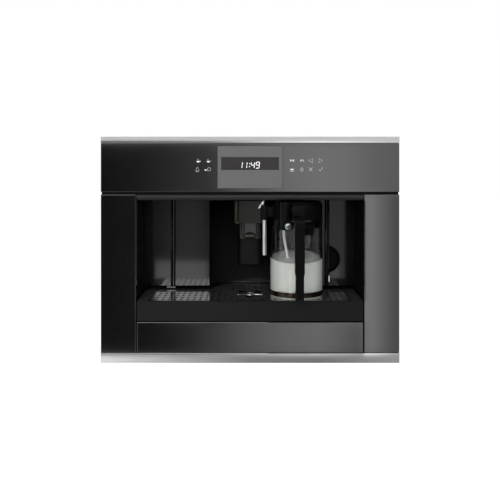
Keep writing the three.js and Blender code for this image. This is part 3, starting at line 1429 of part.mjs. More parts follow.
// ---------------------------------------------------------------- water tank and bean hopper
const supplies = {};
{
  const tankOutline = (inset) =>
    roundedRectangle(
      TANK_X[0] + inset, TANK_X[1] - inset, TANK_Y[0] + inset, TANK_Y[1] - inset, TANK_CORNER - inset,
    );
  const valve = rod(6, "z", tankBottom - 8, tankBottom + 1, [(TANK_X[0] + TANK_X[1]) / 2, PUMP_Y], 12);
  supplies.tank = joined(
    cutBy(
      prism(tankOutline(0), UP, tankBottom, tankTop, 4),
      prism(tankOutline(TANK_WALL), UP, tankBottom + TANK_WALL, tankTop + 1, 4),
    ),
    valve,
  );
  const lidBottom = tankTop + SEAT_GAP;
  supplies.tankLid = joined(
    prism(tankOutline(-1), UP, lidBottom, lidBottom + TANK_LID_THICKNESS, 4),
    prism(tankOutline(TANK_WALL + 0.8), UP, lidBottom - 2, lidBottom + 1, 4),
    block(
      (TANK_X[0] + TANK_X[1]) / 2 - 12,
      (TANK_X[0] + TANK_X[1]) / 2 + 12,
      TANK_Y[0] - 7,
      TANK_Y[0],
      lidBottom,
      lidBottom + TANK_LID_THICKNESS,
    ),
  );

  // hopper: sloping walls down to a floor with the throat of the grinder and the grind setting knob
  const rim = caseTop + SEAT_GAP;
  const outer = loft([
    rectangleRing(HOPPER_X, HOPPER_Y, HOPPER_FLOOR_HALF, HOPPER_FLOOR_HALF, hopperFloor - HOPPER_WALL),
    rectangleRing(HOPPER_X, HOPPER_Y, HOPPER_TOP_HALF - 1, HOPPER_TOP_HALF - 1, rim + 1),
  ]);
  const inner = loft([
    rectangleRing(
      HOPPER_X, HOPPER_Y, HOPPER_FLOOR_HALF - HOPPER_WALL, HOPPER_FLOOR_HALF - HOPPER_WALL, hopperFloor,
    ),
    rectangleRing(
      HOPPER_X, HOPPER_Y, HOPPER_TOP_HALF - 1 - HOPPER_WALL, HOPPER_TOP_HALF - 1 - HOPPER_WALL, rim + 1.5,
    ),
  ]);
  const flangeHalf = HOPPER_TOP_HALF + HOPPER_FLANGE;
  const flange = block(
    HOPPER_X - flangeHalf,
    HOPPER_X + flangeHalf,
    HOPPER_Y - flangeHalf,
    HOPPER_Y + flangeHalf,
    rim,
    rim + HOPPER_RIM,
  );
  const mouthHalf = HOPPER_TOP_HALF - 1 - HOPPER_WALL;
  const mouth = block(
    HOPPER_X - mouthHalf,
    HOPPER_X + mouthHalf,
    HOPPER_Y - mouthHalf,
    HOPPER_Y + mouthHalf,
    rim - 0.5,
    rim + 3,
  );
  const throat = rod(
    THROAT_RADIUS + HOPPER_WALL,
    "z",
    hopperFloor - THROAT_LENGTH,
    hopperFloor - 0.5,
    [THROAT_X, HOPPER_Y],
    20,
  );
  const throatBore = rod(
    THROAT_RADIUS, "z", hopperFloor - THROAT_LENGTH - 2, hopperFloor + 2, [THROAT_X, HOPPER_Y], 20,
  );
  const knobHole = rod(
    KNOB_STEM_RADIUS + RUNNING_GAP, "z", hopperFloor - 4, hopperFloor + 2, [KNOB_X, HOPPER_Y], 12,
  );
  supplies.hopper = cutBy(joined(cutBy(joined(outer, flange), inner, mouth), throat), throatBore, knobHole);

  const knobTop = hopperFloor + SEAT_GAP + KNOB_HEIGHT;
  const ribs = [];
  for (let i = 0; i < KNOB_RIBS; i += 1) {
    const a = (2 * Math.PI * i) / KNOB_RIBS;
    const [ribX, ribY] = [KNOB_X + KNOB_RADIUS * Math.cos(a), HOPPER_Y + KNOB_RADIUS * Math.sin(a)];
    ribs.push(rod(KNOB_RIB_RADIUS, "z", hopperFloor + SEAT_GAP, knobTop - 2, [ribX, ribY], 4));
  }
  supplies.grindKnob = joined(
    rod(KNOB_RADIUS, "z", hopperFloor + SEAT_GAP, knobTop, [KNOB_X, HOPPER_Y], 20),
    rod(KNOB_STEM_RADIUS, "z", hopperFloor - 6, hopperFloor + 2, [KNOB_X, HOPPER_Y], 12),
    block(
      KNOB_X - KNOB_RADIUS + 3,
      KNOB_X + KNOB_RADIUS - 3,
      HOPPER_Y - 1.5,
      HOPPER_Y + 1.5,
      knobTop - 1,
      knobTop + 4,
    ),
    ...ribs,
  );

  const beanLidBottom = rim + HOPPER_RIM + SEAT_GAP;
  const lidHalf = flangeHalf + 0.5;
  supplies.beanLid = joined(
    prism(
      roundedRectangle(HOPPER_X - lidHalf, HOPPER_X + lidHalf, HOPPER_Y - lidHalf, HOPPER_Y + lidHalf, 6),
      UP,
      beanLidBottom,
      beanLidBottom + BEAN_LID_THICKNESS,
      3,
    ),
    block(
      HOPPER_X - mouthHalf + 1,
      HOPPER_X + mouthHalf - 1,
      HOPPER_Y - mouthHalf + 1,
      HOPPER_Y + mouthHalf - 1,
      beanLidBottom - 2,
      beanLidBottom + 1,
    ),
    block(
      HOPPER_X - 20,
      HOPPER_X + 20,
      HOPPER_Y - lidHalf - 6,
      HOPPER_Y - lidHalf + 1,
      beanLidBottom,
      beanLidBottom + 3,
    ),
  );
}

// ---------------------------------------------------------------- working parts inside
const inside = {};
{
  // grinder under the hopper: burr housing, motor and an outlet chute
  const burrTop = hopperFloor - THROAT_LENGTH - SEAT_GAP;
  const grinderBottom = ceilingTop + 4;
  inside.grinder = joined(
    turned(
      [
        [0, grinderBottom],
        [GRINDER_RADIUS - GRINDER_FOOT_INSET, grinderBottom],
        [GRINDER_RADIUS - GRINDER_FOOT_INSET, grinderBottom + GRINDER_FOOT],
        [GRINDER_RADIUS, grinderBottom + GRINDER_FOOT + GRINDER_FOOT_INSET / 2],
        [GRINDER_RADIUS, burrTop - 6],
        [THROAT_RADIUS + 8, burrTop],
        [0, burrTop],
      ],
      THROAT_X,
      HOPPER_Y,
      20,
    ),
    block(
      THROAT_X - CHUTE_HALF_WIDTH,
      THROAT_X + CHUTE_HALF_WIDTH,
      HOPPER_Y,
      HOPPER_Y + CHUTE_REACH,
      ceilingBottom,
      grinderBottom + 6,
    ),
  );

  // brewing unit: two side plates, the brewing cylinder, its piston rod and a funnel on top
  const bayFloorTop = trayTop;
  const [by0, by1] = BREW_Y;
  const brewAxisY = (by0 + by1) / 2;
  const crossHalf = BREW_HALF_WIDTH - 1;
  const plateBottom = bayFloorTop + GROUNDS_HEIGHT + 8;
  const brewTop = ceilingBottom - SEAT_GAP - WALL - BREW_PLATE;
  const sidePlate = block(BREW_HALF_WIDTH - BREW_PLATE, BREW_HALF_WIDTH, by0, by1, plateBottom, brewTop);
  const backPlate = block(
    -crossHalf, crossHalf, by1 - 6, BAY_BACK_Y - WALL - SEAT_GAP, plateBottom, brewTop,
  );
  const cylinder = rod(
    BREW_CYLINDER_RADIUS, "z", plateBottom + 40, brewTop - FUNNEL_DEPTH + 2, [0, brewAxisY], 20,
  );
  const pistonRod = rod(PISTON_RADIUS, "z", plateBottom + 2, plateBottom + 42, [0, brewAxisY], 12);
  const crossBar = block(
    -crossHalf, crossHalf, brewAxisY - 9, brewAxisY + 9, plateBottom, plateBottom + CROSS_BAR_HEIGHT,
  );
  const carrier = block(-crossHalf, crossHalf, brewAxisY - 6, by1, plateBottom + 70, plateBottom + 80);
  const funnel = loft([
    rectangleRing(0, brewAxisY, FUNNEL_FOOT_HALF, FUNNEL_FOOT_HALF, brewTop - FUNNEL_DEPTH),
    rectangleRing(0, brewAxisY, FUNNEL_MOUTH_HALF, FUNNEL_MOUTH_HALF, brewTop),
  ]);
  const funnelRoom = loft([
    rectangleRing(0, brewAxisY, FUNNEL_FOOT_HALF - 3, FUNNEL_FOOT_HALF - 3, brewTop - FUNNEL_DEPTH + 2),
    rectangleRing(0, brewAxisY, FUNNEL_MOUTH_HALF - 2, FUNNEL_MOUTH_HALF - 2, brewTop + 0.5),
  ]);
  const plates = joined(sidePlate, mirrored(sidePlate), backPlate);
  inside.brewUnit = cutBy(joined(plates, cylinder, pistonRod, crossBar, carrier, funnel), funnelRoom);

  const [gy0, gy1] = GROUNDS_Y;
  const [binY, binHalfY] = [(gy0 + gy1) / 2, (gy1 - gy0) / 2];
  const gBottom = bayFloorTop + SEAT_GAP;
  const gTop = gBottom + GROUNDS_HEIGHT;
  const bin = loft([
    rectangleRing(0, binY, GROUNDS_HALF_WIDTH - GROUNDS_TAPER, binHalfY - 4, gBottom),
    rectangleRing(0, binY, GROUNDS_HALF_WIDTH, binHalfY, gTop),
  ]);
  const binRoom = loft([
    rectangleRing(
      0,
      binY,
      GROUNDS_HALF_WIDTH - GROUNDS_TAPER - GROUNDS_WALL,
      binHalfY - 4 - GROUNDS_WALL,
      gBottom + GROUNDS_WALL,
    ),
    rectangleRing(0, binY, GROUNDS_HALF_WIDTH - GROUNDS_WALL, binHalfY - GROUNDS_WALL, gTop + 0.5),
  ]);
  inside.groundsBin = cutBy(bin, binRoom);

  // boiler: an upright pressed vessel with a flange and two pipe stubs
  const floorTop = baseTop + SEAT_GAP;
  const boilerTop = floorTop + BOILER_HEIGHT;
  const [seamLow, seamHigh] = [-1, 1].map((s) => floorTop + (BOILER_HEIGHT + s * BOILER_FLANGE_HEIGHT) / 2);
  const boilerRoom = joined(
    turned(
      [
        [0, floorTop + BOILER_WALL],
        [BOILER_RADIUS - 12, floorTop + BOILER_WALL],
        [BOILER_RADIUS - BOILER_WALL, floorTop + 12],
        [BOILER_RADIUS - BOILER_WALL, boilerTop - 14],
        [BOILER_RADIUS - 15, boilerTop - BOILER_WALL],
        [0, boilerTop - BOILER_WALL],
      ],
      BOILER_X,
      BOILER_Y,
      12,
    ),
    rod(BOILER_NECK_BORE, "z", boilerTop - 6, boilerTop + 14, [BOILER_X, BOILER_Y], 8),
  );
  const boilerBody = joined(
    turned(
      [
        [0, floorTop],
        [BOILER_RADIUS - 12, floorTop],
        [BOILER_RADIUS, floorTop + 10],
        [BOILER_RADIUS, seamLow],
        [BOILER_RADIUS + BOILER_FLANGE, seamLow],
        [BOILER_RADIUS + BOILER_FLANGE, seamHigh],
        [BOILER_RADIUS, seamHigh],
        [BOILER_RADIUS, boilerTop - 12],
        [BOILER_RADIUS - 14, boilerTop],
        [0, boilerTop],
      ],
      BOILER_X,
      BOILER_Y,
      16,
    ),
    rod(BOILER_NECK_RADIUS, "z", boilerTop - 2, boilerTop + 12, [BOILER_X, BOILER_Y], 12),
    rod(
      PIPE_RADIUS,
      "y",
      BOILER_Y + BOILER_RADIUS - 2,
      BOILER_Y + BOILER_RADIUS + PIPE_STUB,
      [BOILER_X, floorTop + BOILER_INLET],
      10,
    ),
  );
  inside.boiler = cutBy(boilerBody, boilerRoom);

  // vibration pump: a coil between two plates on a stand, with its outlet at the back
  const pumpZ = floorTop + PUMP_RADIUS + PUMP_LIFT;
  const pumpEnd = PUMP_Y + PUMP_HALF_LENGTH + PUMP_STUB;
  const plateHalf = PUMP_RADIUS + PUMP_PLATE - 1;
  const plateFrom = PUMP_HALF_LENGTH - 1;
  const endPlate = (y) =>
    block(PUMP_X - plateHalf, PUMP_X + plateHalf, y, y + PUMP_PLATE, floorTop, pumpZ + plateHalf);
  inside.pump = joined(
    rod(PUMP_RADIUS, "y", PUMP_Y - PUMP_HALF_LENGTH, PUMP_Y + PUMP_HALF_LENGTH, [PUMP_X, pumpZ], 18),
    endPlate(PUMP_Y - plateFrom - PUMP_PLATE),
    endPlate(PUMP_Y + plateFrom),
    rod(PIPE_RADIUS, "y", PUMP_Y + PUMP_HALF_LENGTH, pumpEnd, [PUMP_X, pumpZ], 12),
    rod(PIPE_RADIUS, "z", pumpZ, pumpZ + PUMP_RADIUS + PUMP_STUB, [PUMP_X + PUMP_RADIUS / 2, PUMP_Y], 12),
  );

  // the hose that takes cold water from the pump round the back to the boiler
  const lane = (BAY_BACK_Y + CASE_DEPTH - SHEET) / 2;
  const [hoseStart, hoseEnd] = [pumpEnd + SEAT_GAP, BOILER_Y + BOILER_RADIUS + PIPE_STUB + SEAT_GAP];
  const hoseZ = [pumpZ, floorTop + BOILER_INLET];
  const bend = HOSE_RADIUS * 3;
  inside.waterHose = hose(
    [
      [PUMP_X, hoseStart, hoseZ[0]],
      [PUMP_X, hoseStart + bend / 2, hoseZ[0]],
      [PUMP_X - bend, lane - bend / 4, hoseZ[0] - 1],
      [PUMP_X - 3.3 * bend, lane, hoseZ[0] - 2],
      [0, lane, (hoseZ[0] + hoseZ[1]) / 2 - 3],
      [BOILER_X + 3.3 * bend, lane, hoseZ[1] + 1],
      [BOILER_X + bend, lane - bend / 4, hoseZ[1]],
      [BOILER_X, hoseEnd + bend / 2, hoseZ[1]],
      [BOILER_X, hoseEnd, hoseZ[1]],
    ],
    HOSE_RADIUS,
    6,
    24,
  );

  // mains inlet in the rear panel: one housing with the plug socket and the well of the rocker switch
  const faceY = CASE_DEPTH + SEAT_GAP;
  const [ix, iz, iw, ih] = [INLET_X, INLET_Z, INLET_HALF_WIDTH, INLET_HALF_HEIGHT];
  const f = INLET_FLANGE;
  const housing = joined(
    block(ix - iw, ix + iw, CASE_DEPTH - INLET_INSIDE, faceY + 1, iz - ih, iz + ih),
    block(ix - iw - f, ix + iw + f, faceY, faceY + 3, iz - ih - f, iz + ih + f),
  );
  const socketX = ix + SOCKET_OFFSET;
  const switchX = ix + SWITCH_OFFSET;
  const socketWell = block(
    socketX - SOCKET_HALF_WIDTH,
    socketX + SOCKET_HALF_WIDTH,
    CASE_DEPTH - SOCKET_DEPTH,
    faceY + 5,
    iz - SOCKET_HALF_HEIGHT,
    iz + SOCKET_HALF_HEIGHT,
  );
  const switchWell = block(
    switchX - SWITCH_HALF_WIDTH - RUNNING_GAP,
    switchX + SWITCH_HALF_WIDTH + RUNNING_GAP,
    CASE_DEPTH - 15,
    faceY + 5,
    iz - SWITCH_HALF_HEIGHT - 1.6,
    iz + SWITCH_HALF_HEIGHT + 1.6,
  );
  const pins = [-8, 0, 8].map(
    (dx) => block(
      socketX + dx - 1.2,
      socketX + dx + 1.2,
      CASE_DEPTH - SOCKET_DEPTH - 1,
      CASE_DEPTH - 2,
      iz - 2.5,
      iz + 2.5,
    ),
  );
  inside.mainsInlet = joined(cutBy(housing, socketWell, switchWell), ...pins);
  inside.powerSwitch = prism(
    polygon([
      [CASE_DEPTH - 10, iz - SWITCH_HALF_HEIGHT],
      [faceY + 1.2, iz - SWITCH_HALF_HEIGHT],
      [faceY + 2.2, iz],
      [faceY + SWITCH_PROUD, iz + SWITCH_HALF_HEIGHT],
      [CASE_DEPTH - 10, iz + SWITCH_HALF_HEIGHT],
    ]),
    ACROSS,
    switchX - SWITCH_HALF_WIDTH,
    switchX + SWITCH_HALF_WIDTH,
  );
}

// ---------------------------------------------------------------- assembly
const machine = new THREE.Group();
function add(name, shape, material) {
  const mesh = new THREE.Mesh(geometryOf(shape), material);
  mesh.name = name;
  machine.add(mesh);
}

for (const [side, turn] of [
  ["right", (s) => s],
  ["left", mirrored],
]) {
  add(`rail_bracket_${side}`, turn(rails.bracket), zincSheet);
  add(`outer_rail_${side}`, turn(rails.outer), zincSheet);
  add(`middle_rail_${side}`, turn(rails.middle), zincSheet);
  add(`inner_rail_${side}`, turn(rails.inner), zincSheet);
  add(`side_panel_${side}`, turn(casing.side), zincSheet);
}
add("base_pan", casing.basePan, zincSheet);
add("rear_panel", casing.rear, zincSheet);
add("top_cover", casing.top, zincSheet);
add("front_frame", front.frame, softBlack);
add("control_glass", front.controlGlass, blackGlass);
add("display_plate", front.displayPlate, displayGrey);
add("display_window", front.displayWindow, displayBlack);
add("column_glass_left", front.leftGlass, blackGlass);
add("column_glass_right", front.rightGlass, blackGlass);
add("lower_glass", front.lowerGlass, blackGlass);
add("top_trim", front.topTrim, brushedSteel);
add("bottom_trim", front.bottomTrim, brushedSteel);
add("niche_lintel", front.lintel, satinBlack);
add("control_board", front.controlBoard, circuitGreen);
add("niche_wall_left", niche.leftWall, satinBlack);
add("niche_wall_right", niche.rightWall, satinBlack);
add("niche_ceiling", niche.ceiling, satinBlack);
add("niche_lamp", niche.lamp, lampWhite);
add("inner_frame", niche.innerFrame, greyPlastic);
add("drip_tray", tray.body, softBlack);
add("drip_grille", tray.grille, polishedSteel);
add("tray_float", tray.float, floatRed);
add("service_door", door.panel, glossBlack);
add("door_hinge_bar", door.hingeBar, glossBlack);
add("door_grip_bar", door.gripBar, glossBlack);
add("spout_column", door.column, glossBlack);
add("steam_nozzle", door.steamNozzle, polishedSteel);
add("spout_cover", spout.cover, satinBlack);
add("spout_nozzles", spout.nozzles, glossBlack);
add("jug_glass", jug.glass, clearGlass);
add("jug_band", jug.band, copper);
add("jug_handle", jug.handle, softBlack);
add("jug_lid", jug.lid, glossBlack);
add("milk_intake_tube", jug.intake, clearPlastic);
add("froth_dial", jug.dial, softBlack);
add("clean_button", jug.button, polishedSteel);
add("milk_outlet_tube", jug.milkTube, polishedSteel);
add("water_tank", supplies.tank, clearPlastic);
add("water_tank_lid", supplies.tankLid, greyPlastic);
add("bean_hopper", supplies.hopper, clearPlastic);
add("grind_knob", supplies.grindKnob, softBlack);
add("bean_lid", supplies.beanLid, greyPlastic);
add("grinder", inside.grinder, greyPlastic);
add("brew_unit", inside.brewUnit, greyPlastic);
add("grounds_bin", inside.groundsBin, softBlack);
add("boiler", inside.boiler, copper);
add("pump", inside.pump, greyPlastic);
add("water_hose", inside.waterHose, lampWhite);
add("mains_inlet", inside.mainsInlet, softBlack);
add("power_switch", inside.powerSwitch, softBlack);

// the origin is the centre of the bottom: halfway between the jug's handle and the back
const rearMost = CASE_DEPTH + SEAT_GAP + SWITCH_PROUD;
machine.position.y = -(HANDLE_FRONT_Y + rearMost) / 2;

export default machine;
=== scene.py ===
# A built-in coffee machine, dressed for a product photograph: black glass front, steel trims, a cup niche
# with its spout, milk jug and drip tray, and a zinc-coated casing on telescopic rails.
# Sizes and places are in millimetres, apart from the camera and the light, which are in metres.
import json
import math

import bmesh
import bpy
from mathutils import Matrix, Vector


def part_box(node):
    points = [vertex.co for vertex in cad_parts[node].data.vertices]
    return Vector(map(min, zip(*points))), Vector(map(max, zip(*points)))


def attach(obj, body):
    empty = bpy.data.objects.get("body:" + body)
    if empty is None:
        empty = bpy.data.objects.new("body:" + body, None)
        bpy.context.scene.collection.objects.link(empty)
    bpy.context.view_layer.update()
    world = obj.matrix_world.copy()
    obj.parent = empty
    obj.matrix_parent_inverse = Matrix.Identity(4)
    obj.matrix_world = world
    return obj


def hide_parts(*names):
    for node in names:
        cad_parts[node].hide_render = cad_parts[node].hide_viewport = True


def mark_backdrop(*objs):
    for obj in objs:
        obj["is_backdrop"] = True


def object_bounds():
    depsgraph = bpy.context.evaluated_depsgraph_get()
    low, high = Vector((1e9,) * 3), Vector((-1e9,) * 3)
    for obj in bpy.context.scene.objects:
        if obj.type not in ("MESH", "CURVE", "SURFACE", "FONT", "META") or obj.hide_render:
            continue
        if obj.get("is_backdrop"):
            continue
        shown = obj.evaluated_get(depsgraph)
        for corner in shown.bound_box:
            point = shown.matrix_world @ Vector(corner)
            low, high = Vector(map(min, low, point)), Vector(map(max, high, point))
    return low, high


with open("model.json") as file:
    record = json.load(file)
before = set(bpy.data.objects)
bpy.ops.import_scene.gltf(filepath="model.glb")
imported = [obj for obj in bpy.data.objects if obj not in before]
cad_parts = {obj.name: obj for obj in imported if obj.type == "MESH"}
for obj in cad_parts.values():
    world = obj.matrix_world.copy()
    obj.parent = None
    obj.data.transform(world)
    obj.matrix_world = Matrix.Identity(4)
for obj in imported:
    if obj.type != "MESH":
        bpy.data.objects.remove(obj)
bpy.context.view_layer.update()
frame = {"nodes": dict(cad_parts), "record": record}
NODES = frame["nodes"]
FRONT_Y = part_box("control_glass")[0].y  # the plane of the black glass
BODY_OF = {node: body for body, group in frame["record"]["behaviour"]["bodies"].items() for node in group}


def at(x, y, z):
    """A place given in millimetres: to the right, back from the glass, up from the shelf."""
    return Vector((x / 1000, FRONT_Y + y / 1000, z / 1000))


def in_millimetres(place):
    """The opposite of at()."""
    return place[0] * 1000, (place[1] - FRONT_Y) * 1000, place[2] * 1000


def span(node):
    """A CAD piece's box: its reach in x, y and z, in the same millimetres as at()."""
    return tuple(zip(*(in_millimetres(corner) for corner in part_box(node))))


# ------------------------------------------------------------------ nodes of every kind of tree
def add_node(tree, kind, at_xy=(0, 0), sources=None, **settings):
    """A node; sources feeds its inputs, by name or number, with sockets or plain values."""
    node = tree.nodes.new(kind)
    node.location = at_xy
    for name, value in settings.items():
        setattr(node, name, value)
    for label, source in (sources or {}).items():
        if isinstance(source, bpy.types.NodeSocket):
            tree.links.new(source, node.inputs[label])
        else:
            node.inputs[label].default_value = source
    return node


def math_node(tree, operation, first, second=0.0, at_xy=(0, 0)):
    return add_node(tree, "ShaderNodeMath", at_xy, {0: first, 1: second}, operation=operation).outputs[0]


def remap(tree, value, to_low, to_high, from_low=0.0, from_high=1.0, at_xy=(0, 0)):
    sources = {"Value": value, "From Min": from_low, "From Max": from_high}
    sources |= {"To Min": to_low, "To Max": to_high}
    return add_node(tree, "ShaderNodeMapRange", at_xy, sources).outputs["Result"]


def mixed(tree, factor, first, second, at_xy=(0, 0)):
    """Two colours mixed by a factor."""
    sources = {0: factor, 6: first, 7: second}
    return add_node(tree, "ShaderNodeMix", at_xy, sources, data_type="RGBA").outputs[2]


# ------------------------------------------------------------------ finishes: shared shader groups
def shader_group(name, inputs, outputs):
    """An empty group with number or colour sockets; returns it with its given values and its results."""
    group = bpy.data.node_groups.new(name, "ShaderNodeTree")
    kinds = {float: "NodeSocketFloat", tuple: "NodeSocketColor"}
    for label, default in inputs:
        socket = group.interface.new_socket(name=label, in_out="INPUT", socket_type=kinds[type(default)])
        socket.default_value = default
    for label, kind in outputs:
        group.interface.new_socket(name=label, in_out="OUTPUT", socket_type=kinds[kind])
    given = add_node(group, "NodeGroupInput", (-900, 0))
    results = add_node(group, "NodeGroupOutput", (700, 0))
    return group, given.outputs, results.inputs


def delivered(group, results, **sockets):
    """The group, with each result fed by its socket."""
    for label, socket in sockets.items():
        group.links.new(socket, results[label])
    return group


def object_noise(tree, scale, detail=3.0, stretch=(1, 1, 1), at_xy=(-600, 0), roughness=0.5):
    """Noise in the piece's own metres; scale is a number or a group's input."""
    x, y = at_xy
    place = add_node(tree, "ShaderNodeTexCoord", (x - 400, y)).outputs["Object"]
    mapping = add_node(tree, "ShaderNodeMapping", (x - 200, y), {"Vector": place, "Scale": stretch})
    sources = {"Vector": mapping.outputs["Vector"], "Scale": scale, "Detail": detail, "Roughness": roughness}
    return add_node(tree, "ShaderNodeTexNoise", at_xy, sources).outputs["Fac"]


def varied_roughness(group, given, mask, from_low, from_high):
    """The given roughness, from half its variation below to half above, as the mask grows lighter."""
    half = math_node(group, "MULTIPLY", given["Variation"], 0.5, (-300, -250))
    low = math_node(group, "SUBTRACT", given["Roughness"], half, (-150, -200))
    high = math_node(group, "ADD", given["Roughness"], half, (-150, -350))
    return remap(group, mask, low, high, from_low, from_high, (50, -250))


def blended(group, first, first_share, second, second_share, at_xy):
    """A sum of two masks, each with its share."""
    x, y = at_xy
    first = math_node(group, "MULTIPLY", first, first_share, (x - 200, y + 100))
    second = math_node(group, "MULTIPLY", second, second_share, (x - 200, y - 100))
    return math_node(group, "ADD", first, second, at_xy)


def moulded_grain():
    """The fine spark-eroded grain of moulded plastic, with faint wipe marks."""
    wipe_colour = (0.5, 0.5, 0.5, 1)
    group, given, results = shader_group(
        "Moulded grain",
        [
            ("Colour", (0.1, 0.1, 0.1, 1)),
            ("Grain scale", 900.0),
            ("Roughness", 0.5),
            ("Variation", 0.1),
            ("Wipe marks", 0.06),
        ],
        [("Colour", tuple), ("Roughness", float), ("Height", float)],
    )
    grain = object_noise(group, given["Grain scale"], 2.0)
    wipe = object_noise(group, 22.0, 4.0, (1, 1, 2.4), (-600, -300))
    mark = remap(group, wipe, 0.0, 1.0, 0.45, 0.75, (-300, 200))
    mark = math_node(group, "MULTIPLY", mark, given["Wipe marks"], (-100, 200))
    colour = mixed(group, mark, given["Colour"], wipe_colour, (150, 200))
    rough = varied_roughness(group, given, wipe, 0.3, 0.7)
    return delivered(group, results, Colour=colour, Roughness=rough, Height=grain)


def brushed_grain():
    """Long fine scratches along x, as on ground stainless steel."""
    scratch_colour = (0.12, 0.12, 0.125, 1)
    group, given, results = shader_group(
        "Brushed grain",
        [("Colour", (0.6, 0.6, 0.6, 1)), ("Roughness", 0.3), ("Variation", 0.12), ("Contrast", 0.25)],
        [("Colour", tuple), ("Roughness", float), ("Height", float)],
    )
    fine = object_noise(group, 60.0, 3.0, (0.5, 30, 60), (-600, 150))
    coarse = object_noise(group, 9.0, 2.0, (0.7, 12, 24), (-600, -150))
    both = blended(group, fine, 0.65, coarse, 0.35, (-150, 0))
    streak = remap(group, both, 0.0, 1.0, 0.35, 0.65, (0, 250))
    streak = math_node(group, "MULTIPLY", streak, given["Contrast"], (200, 250))
    colour = mixed(group, streak, given["Colour"], scratch_colour, (400, 150))
    rough = varied_roughness(group, given, both, 0.35, 0.65)
    return delivered(group, results, Colour=colour, Roughness=rough, Height=both)


def wiped_gloss():
    """Polished surfaces: a nearly even gloss with faint cloth marks."""
    group, given, results = shader_group(
        "Wiped gloss",
        [("Roughness", 0.08), ("Smear", 0.05), ("Smear scale", 7.0)],
        [("Roughness", float), ("Mask", float)],
    )
    smear = object_noise(group, given["Smear scale"], 5.0, (1, 1, 1.8), (-600, 0), 0.6)
    mask = remap(group, smear, 0.0, 1.0, 0.45, 0.75, (-300, 0))
    extra = math_node(group, "MULTIPLY", mask, given["Smear"], (-100, 0))
    rough = math_node(group, "ADD", given["Roughness"], extra, (100, 0))
    return delivered(group, results, Roughness=rough, Mask=mask)


def zinc_spangle():
    """The crystal patches of hot-dip zinc on sheet steel."""
    group, given, results = shader_group(
        "Zinc spangle",
        [
            ("Light", (0.55, 0.57, 0.58, 1)),
            ("Dark", (0.38, 0.4, 0.42, 1)),
            ("Scale", 70.0),
            ("Roughness", 0.42),
        ],
        [("Colour", tuple), ("Roughness", float), ("Height", float)],
    )
    place = add_node(group, "ShaderNodeTexCoord", (-900, -250)).outputs["Object"]
    cells = add_node(group, "ShaderNodeTexVoronoi", (-600, 0), {"Vector": place, "Scale": given["Scale"]})
    patch = add_node(group, "ShaderNodeSeparateColor", (-400, 0), {0: cells.outputs["Color"]}).outputs
    cloud = object_noise(group, 6.0, 4.0, (1, 1, 1), (-600, -400))
    shade = blended(group, patch[0], 0.6, cloud, 0.4, (0, 0))
    colour = mixed(group, shade, given["Dark"], given["Light"], (200, 100))
    spread = remap(group, patch[1], -0.06, 0.08, 0.0, 1.0, (0, -250))
    rough = math_node(group, "ADD", given["Roughness"], spread, (200, -250))
    return delivered(group, results, Colour=colour, Roughness=rough, Height=patch[2])


GRAIN, BRUSHED, GLOSS, SPANGLE = moulded_grain(), brushed_grain(), wiped_gloss(), zinc_spangle()


# ------------------------------------------------------------------ finishes: materials
def linear(value):
    """A screen colour from 0 to 255 as light."""
    c = value / 255
    return c / 12.92 if c <= 0.04045 else ((c + 0.055) / 1.055) ** 2.4


def tone(red, green=None, blue=None):
    """A colour from screen values; one value alone makes a grey."""
    if green is None:
        green = blue = red
    return (linear(red), linear(green), linear(blue), 1.0)


def metal(red, green=None, blue=None):
    """A metal's colour from its reflectance; one value alone makes a grey."""
    if green is None:
        green = blue = red
    return (red, green, blue, 1)


def spaced(values):
    """Keyword arguments as the names of sockets."""
    return {label.replace("_", " "): value for label, value in values.items()}


class Finish:
    """A Principled material whose constants sit on its own sockets."""

    def __init__(self, name, **sockets):
        self.material = bpy.data.materials.new(name)
        self.material.use_nodes = True
        self.tree = self.material.node_tree
        self.shader = self.tree.nodes["Principled BSDF"]
        for label, value in spaced(sockets).items():
            self.shader.inputs[label].default_value = value

    def group(self, group, **values):
        return add_node(self.tree, "ShaderNodeGroup", (-500, 0), spaced(values), node_tree=group).outputs

    def feed(self, output, socket):
        self.tree.links.new(output, self.shader.inputs[socket])

    def surface(self, effect, strength, distance):
        """Feeds a group's colour and roughness, and its height as a bump."""
        self.feed(effect["Colour"], "Base Color")
        self.feed(effect["Roughness"], "Roughness")
        sources = {"Strength": strength, "Distance": distance, "Height": effect["Height"]}
        self.feed(add_node(self.tree, "ShaderNodeBump", (-250, -350), sources).outputs["Normal"], "Normal")
        return self.material


def moulded(name, colour, roughness, grain=0.25, scale=900.0, wipe=0.03, **sockets):
    finish = Finish(name, **sockets)
    effect = finish.group(
        GRAIN, Colour=colour, Grain_scale=scale, Roughness=roughness, Variation=0.1, Wipe_marks=wipe
    )
    return finish.surface(effect, grain, 0.0001)


def brushed(name, colour, roughness, contrast, bump, variation=0.12):
    finish = Finish(name, Metallic=1.0)
    effect = finish.group(BRUSHED, Colour=colour, Roughness=roughness, Variation=variation, Contrast=contrast)
    return finish.surface(effect, bump, 0.00008)


def polished(name, colour, second, roughness, smear=0.04, metallic=0.0, **sockets):
    """A gloss whose colour goes over to the second one where a cloth has passed."""
    finish = Finish(name, Metallic=metallic, **sockets)
    effect = finish.group(GLOSS, Roughness=roughness, Smear=smear)
    finish.feed(effect["Roughness"], "Roughness")
    finish.feed(mixed(finish.tree, effect["Mask"], colour, second, (-250, 150)), "Base Color")
    return finish.material


def see_through(name, colour, roughness, ior):
    finish = Finish(name, Base_Color=colour, IOR=ior, Transmission_Weight=1.0)
    effect = finish.group(GLOSS, Roughness=roughness, Smear=0.03, Smear_scale=12.0)
    finish.feed(effect["Roughness"], "Roughness")
    return finish.material


def glowing_print(name, colour, strength):
    sockets = dict(Base_Color=colour, Roughness=0.5, Emission_Color=(1, 1, 1, 1), Emission_Strength=strength)
    return Finish(name, **sockets).material


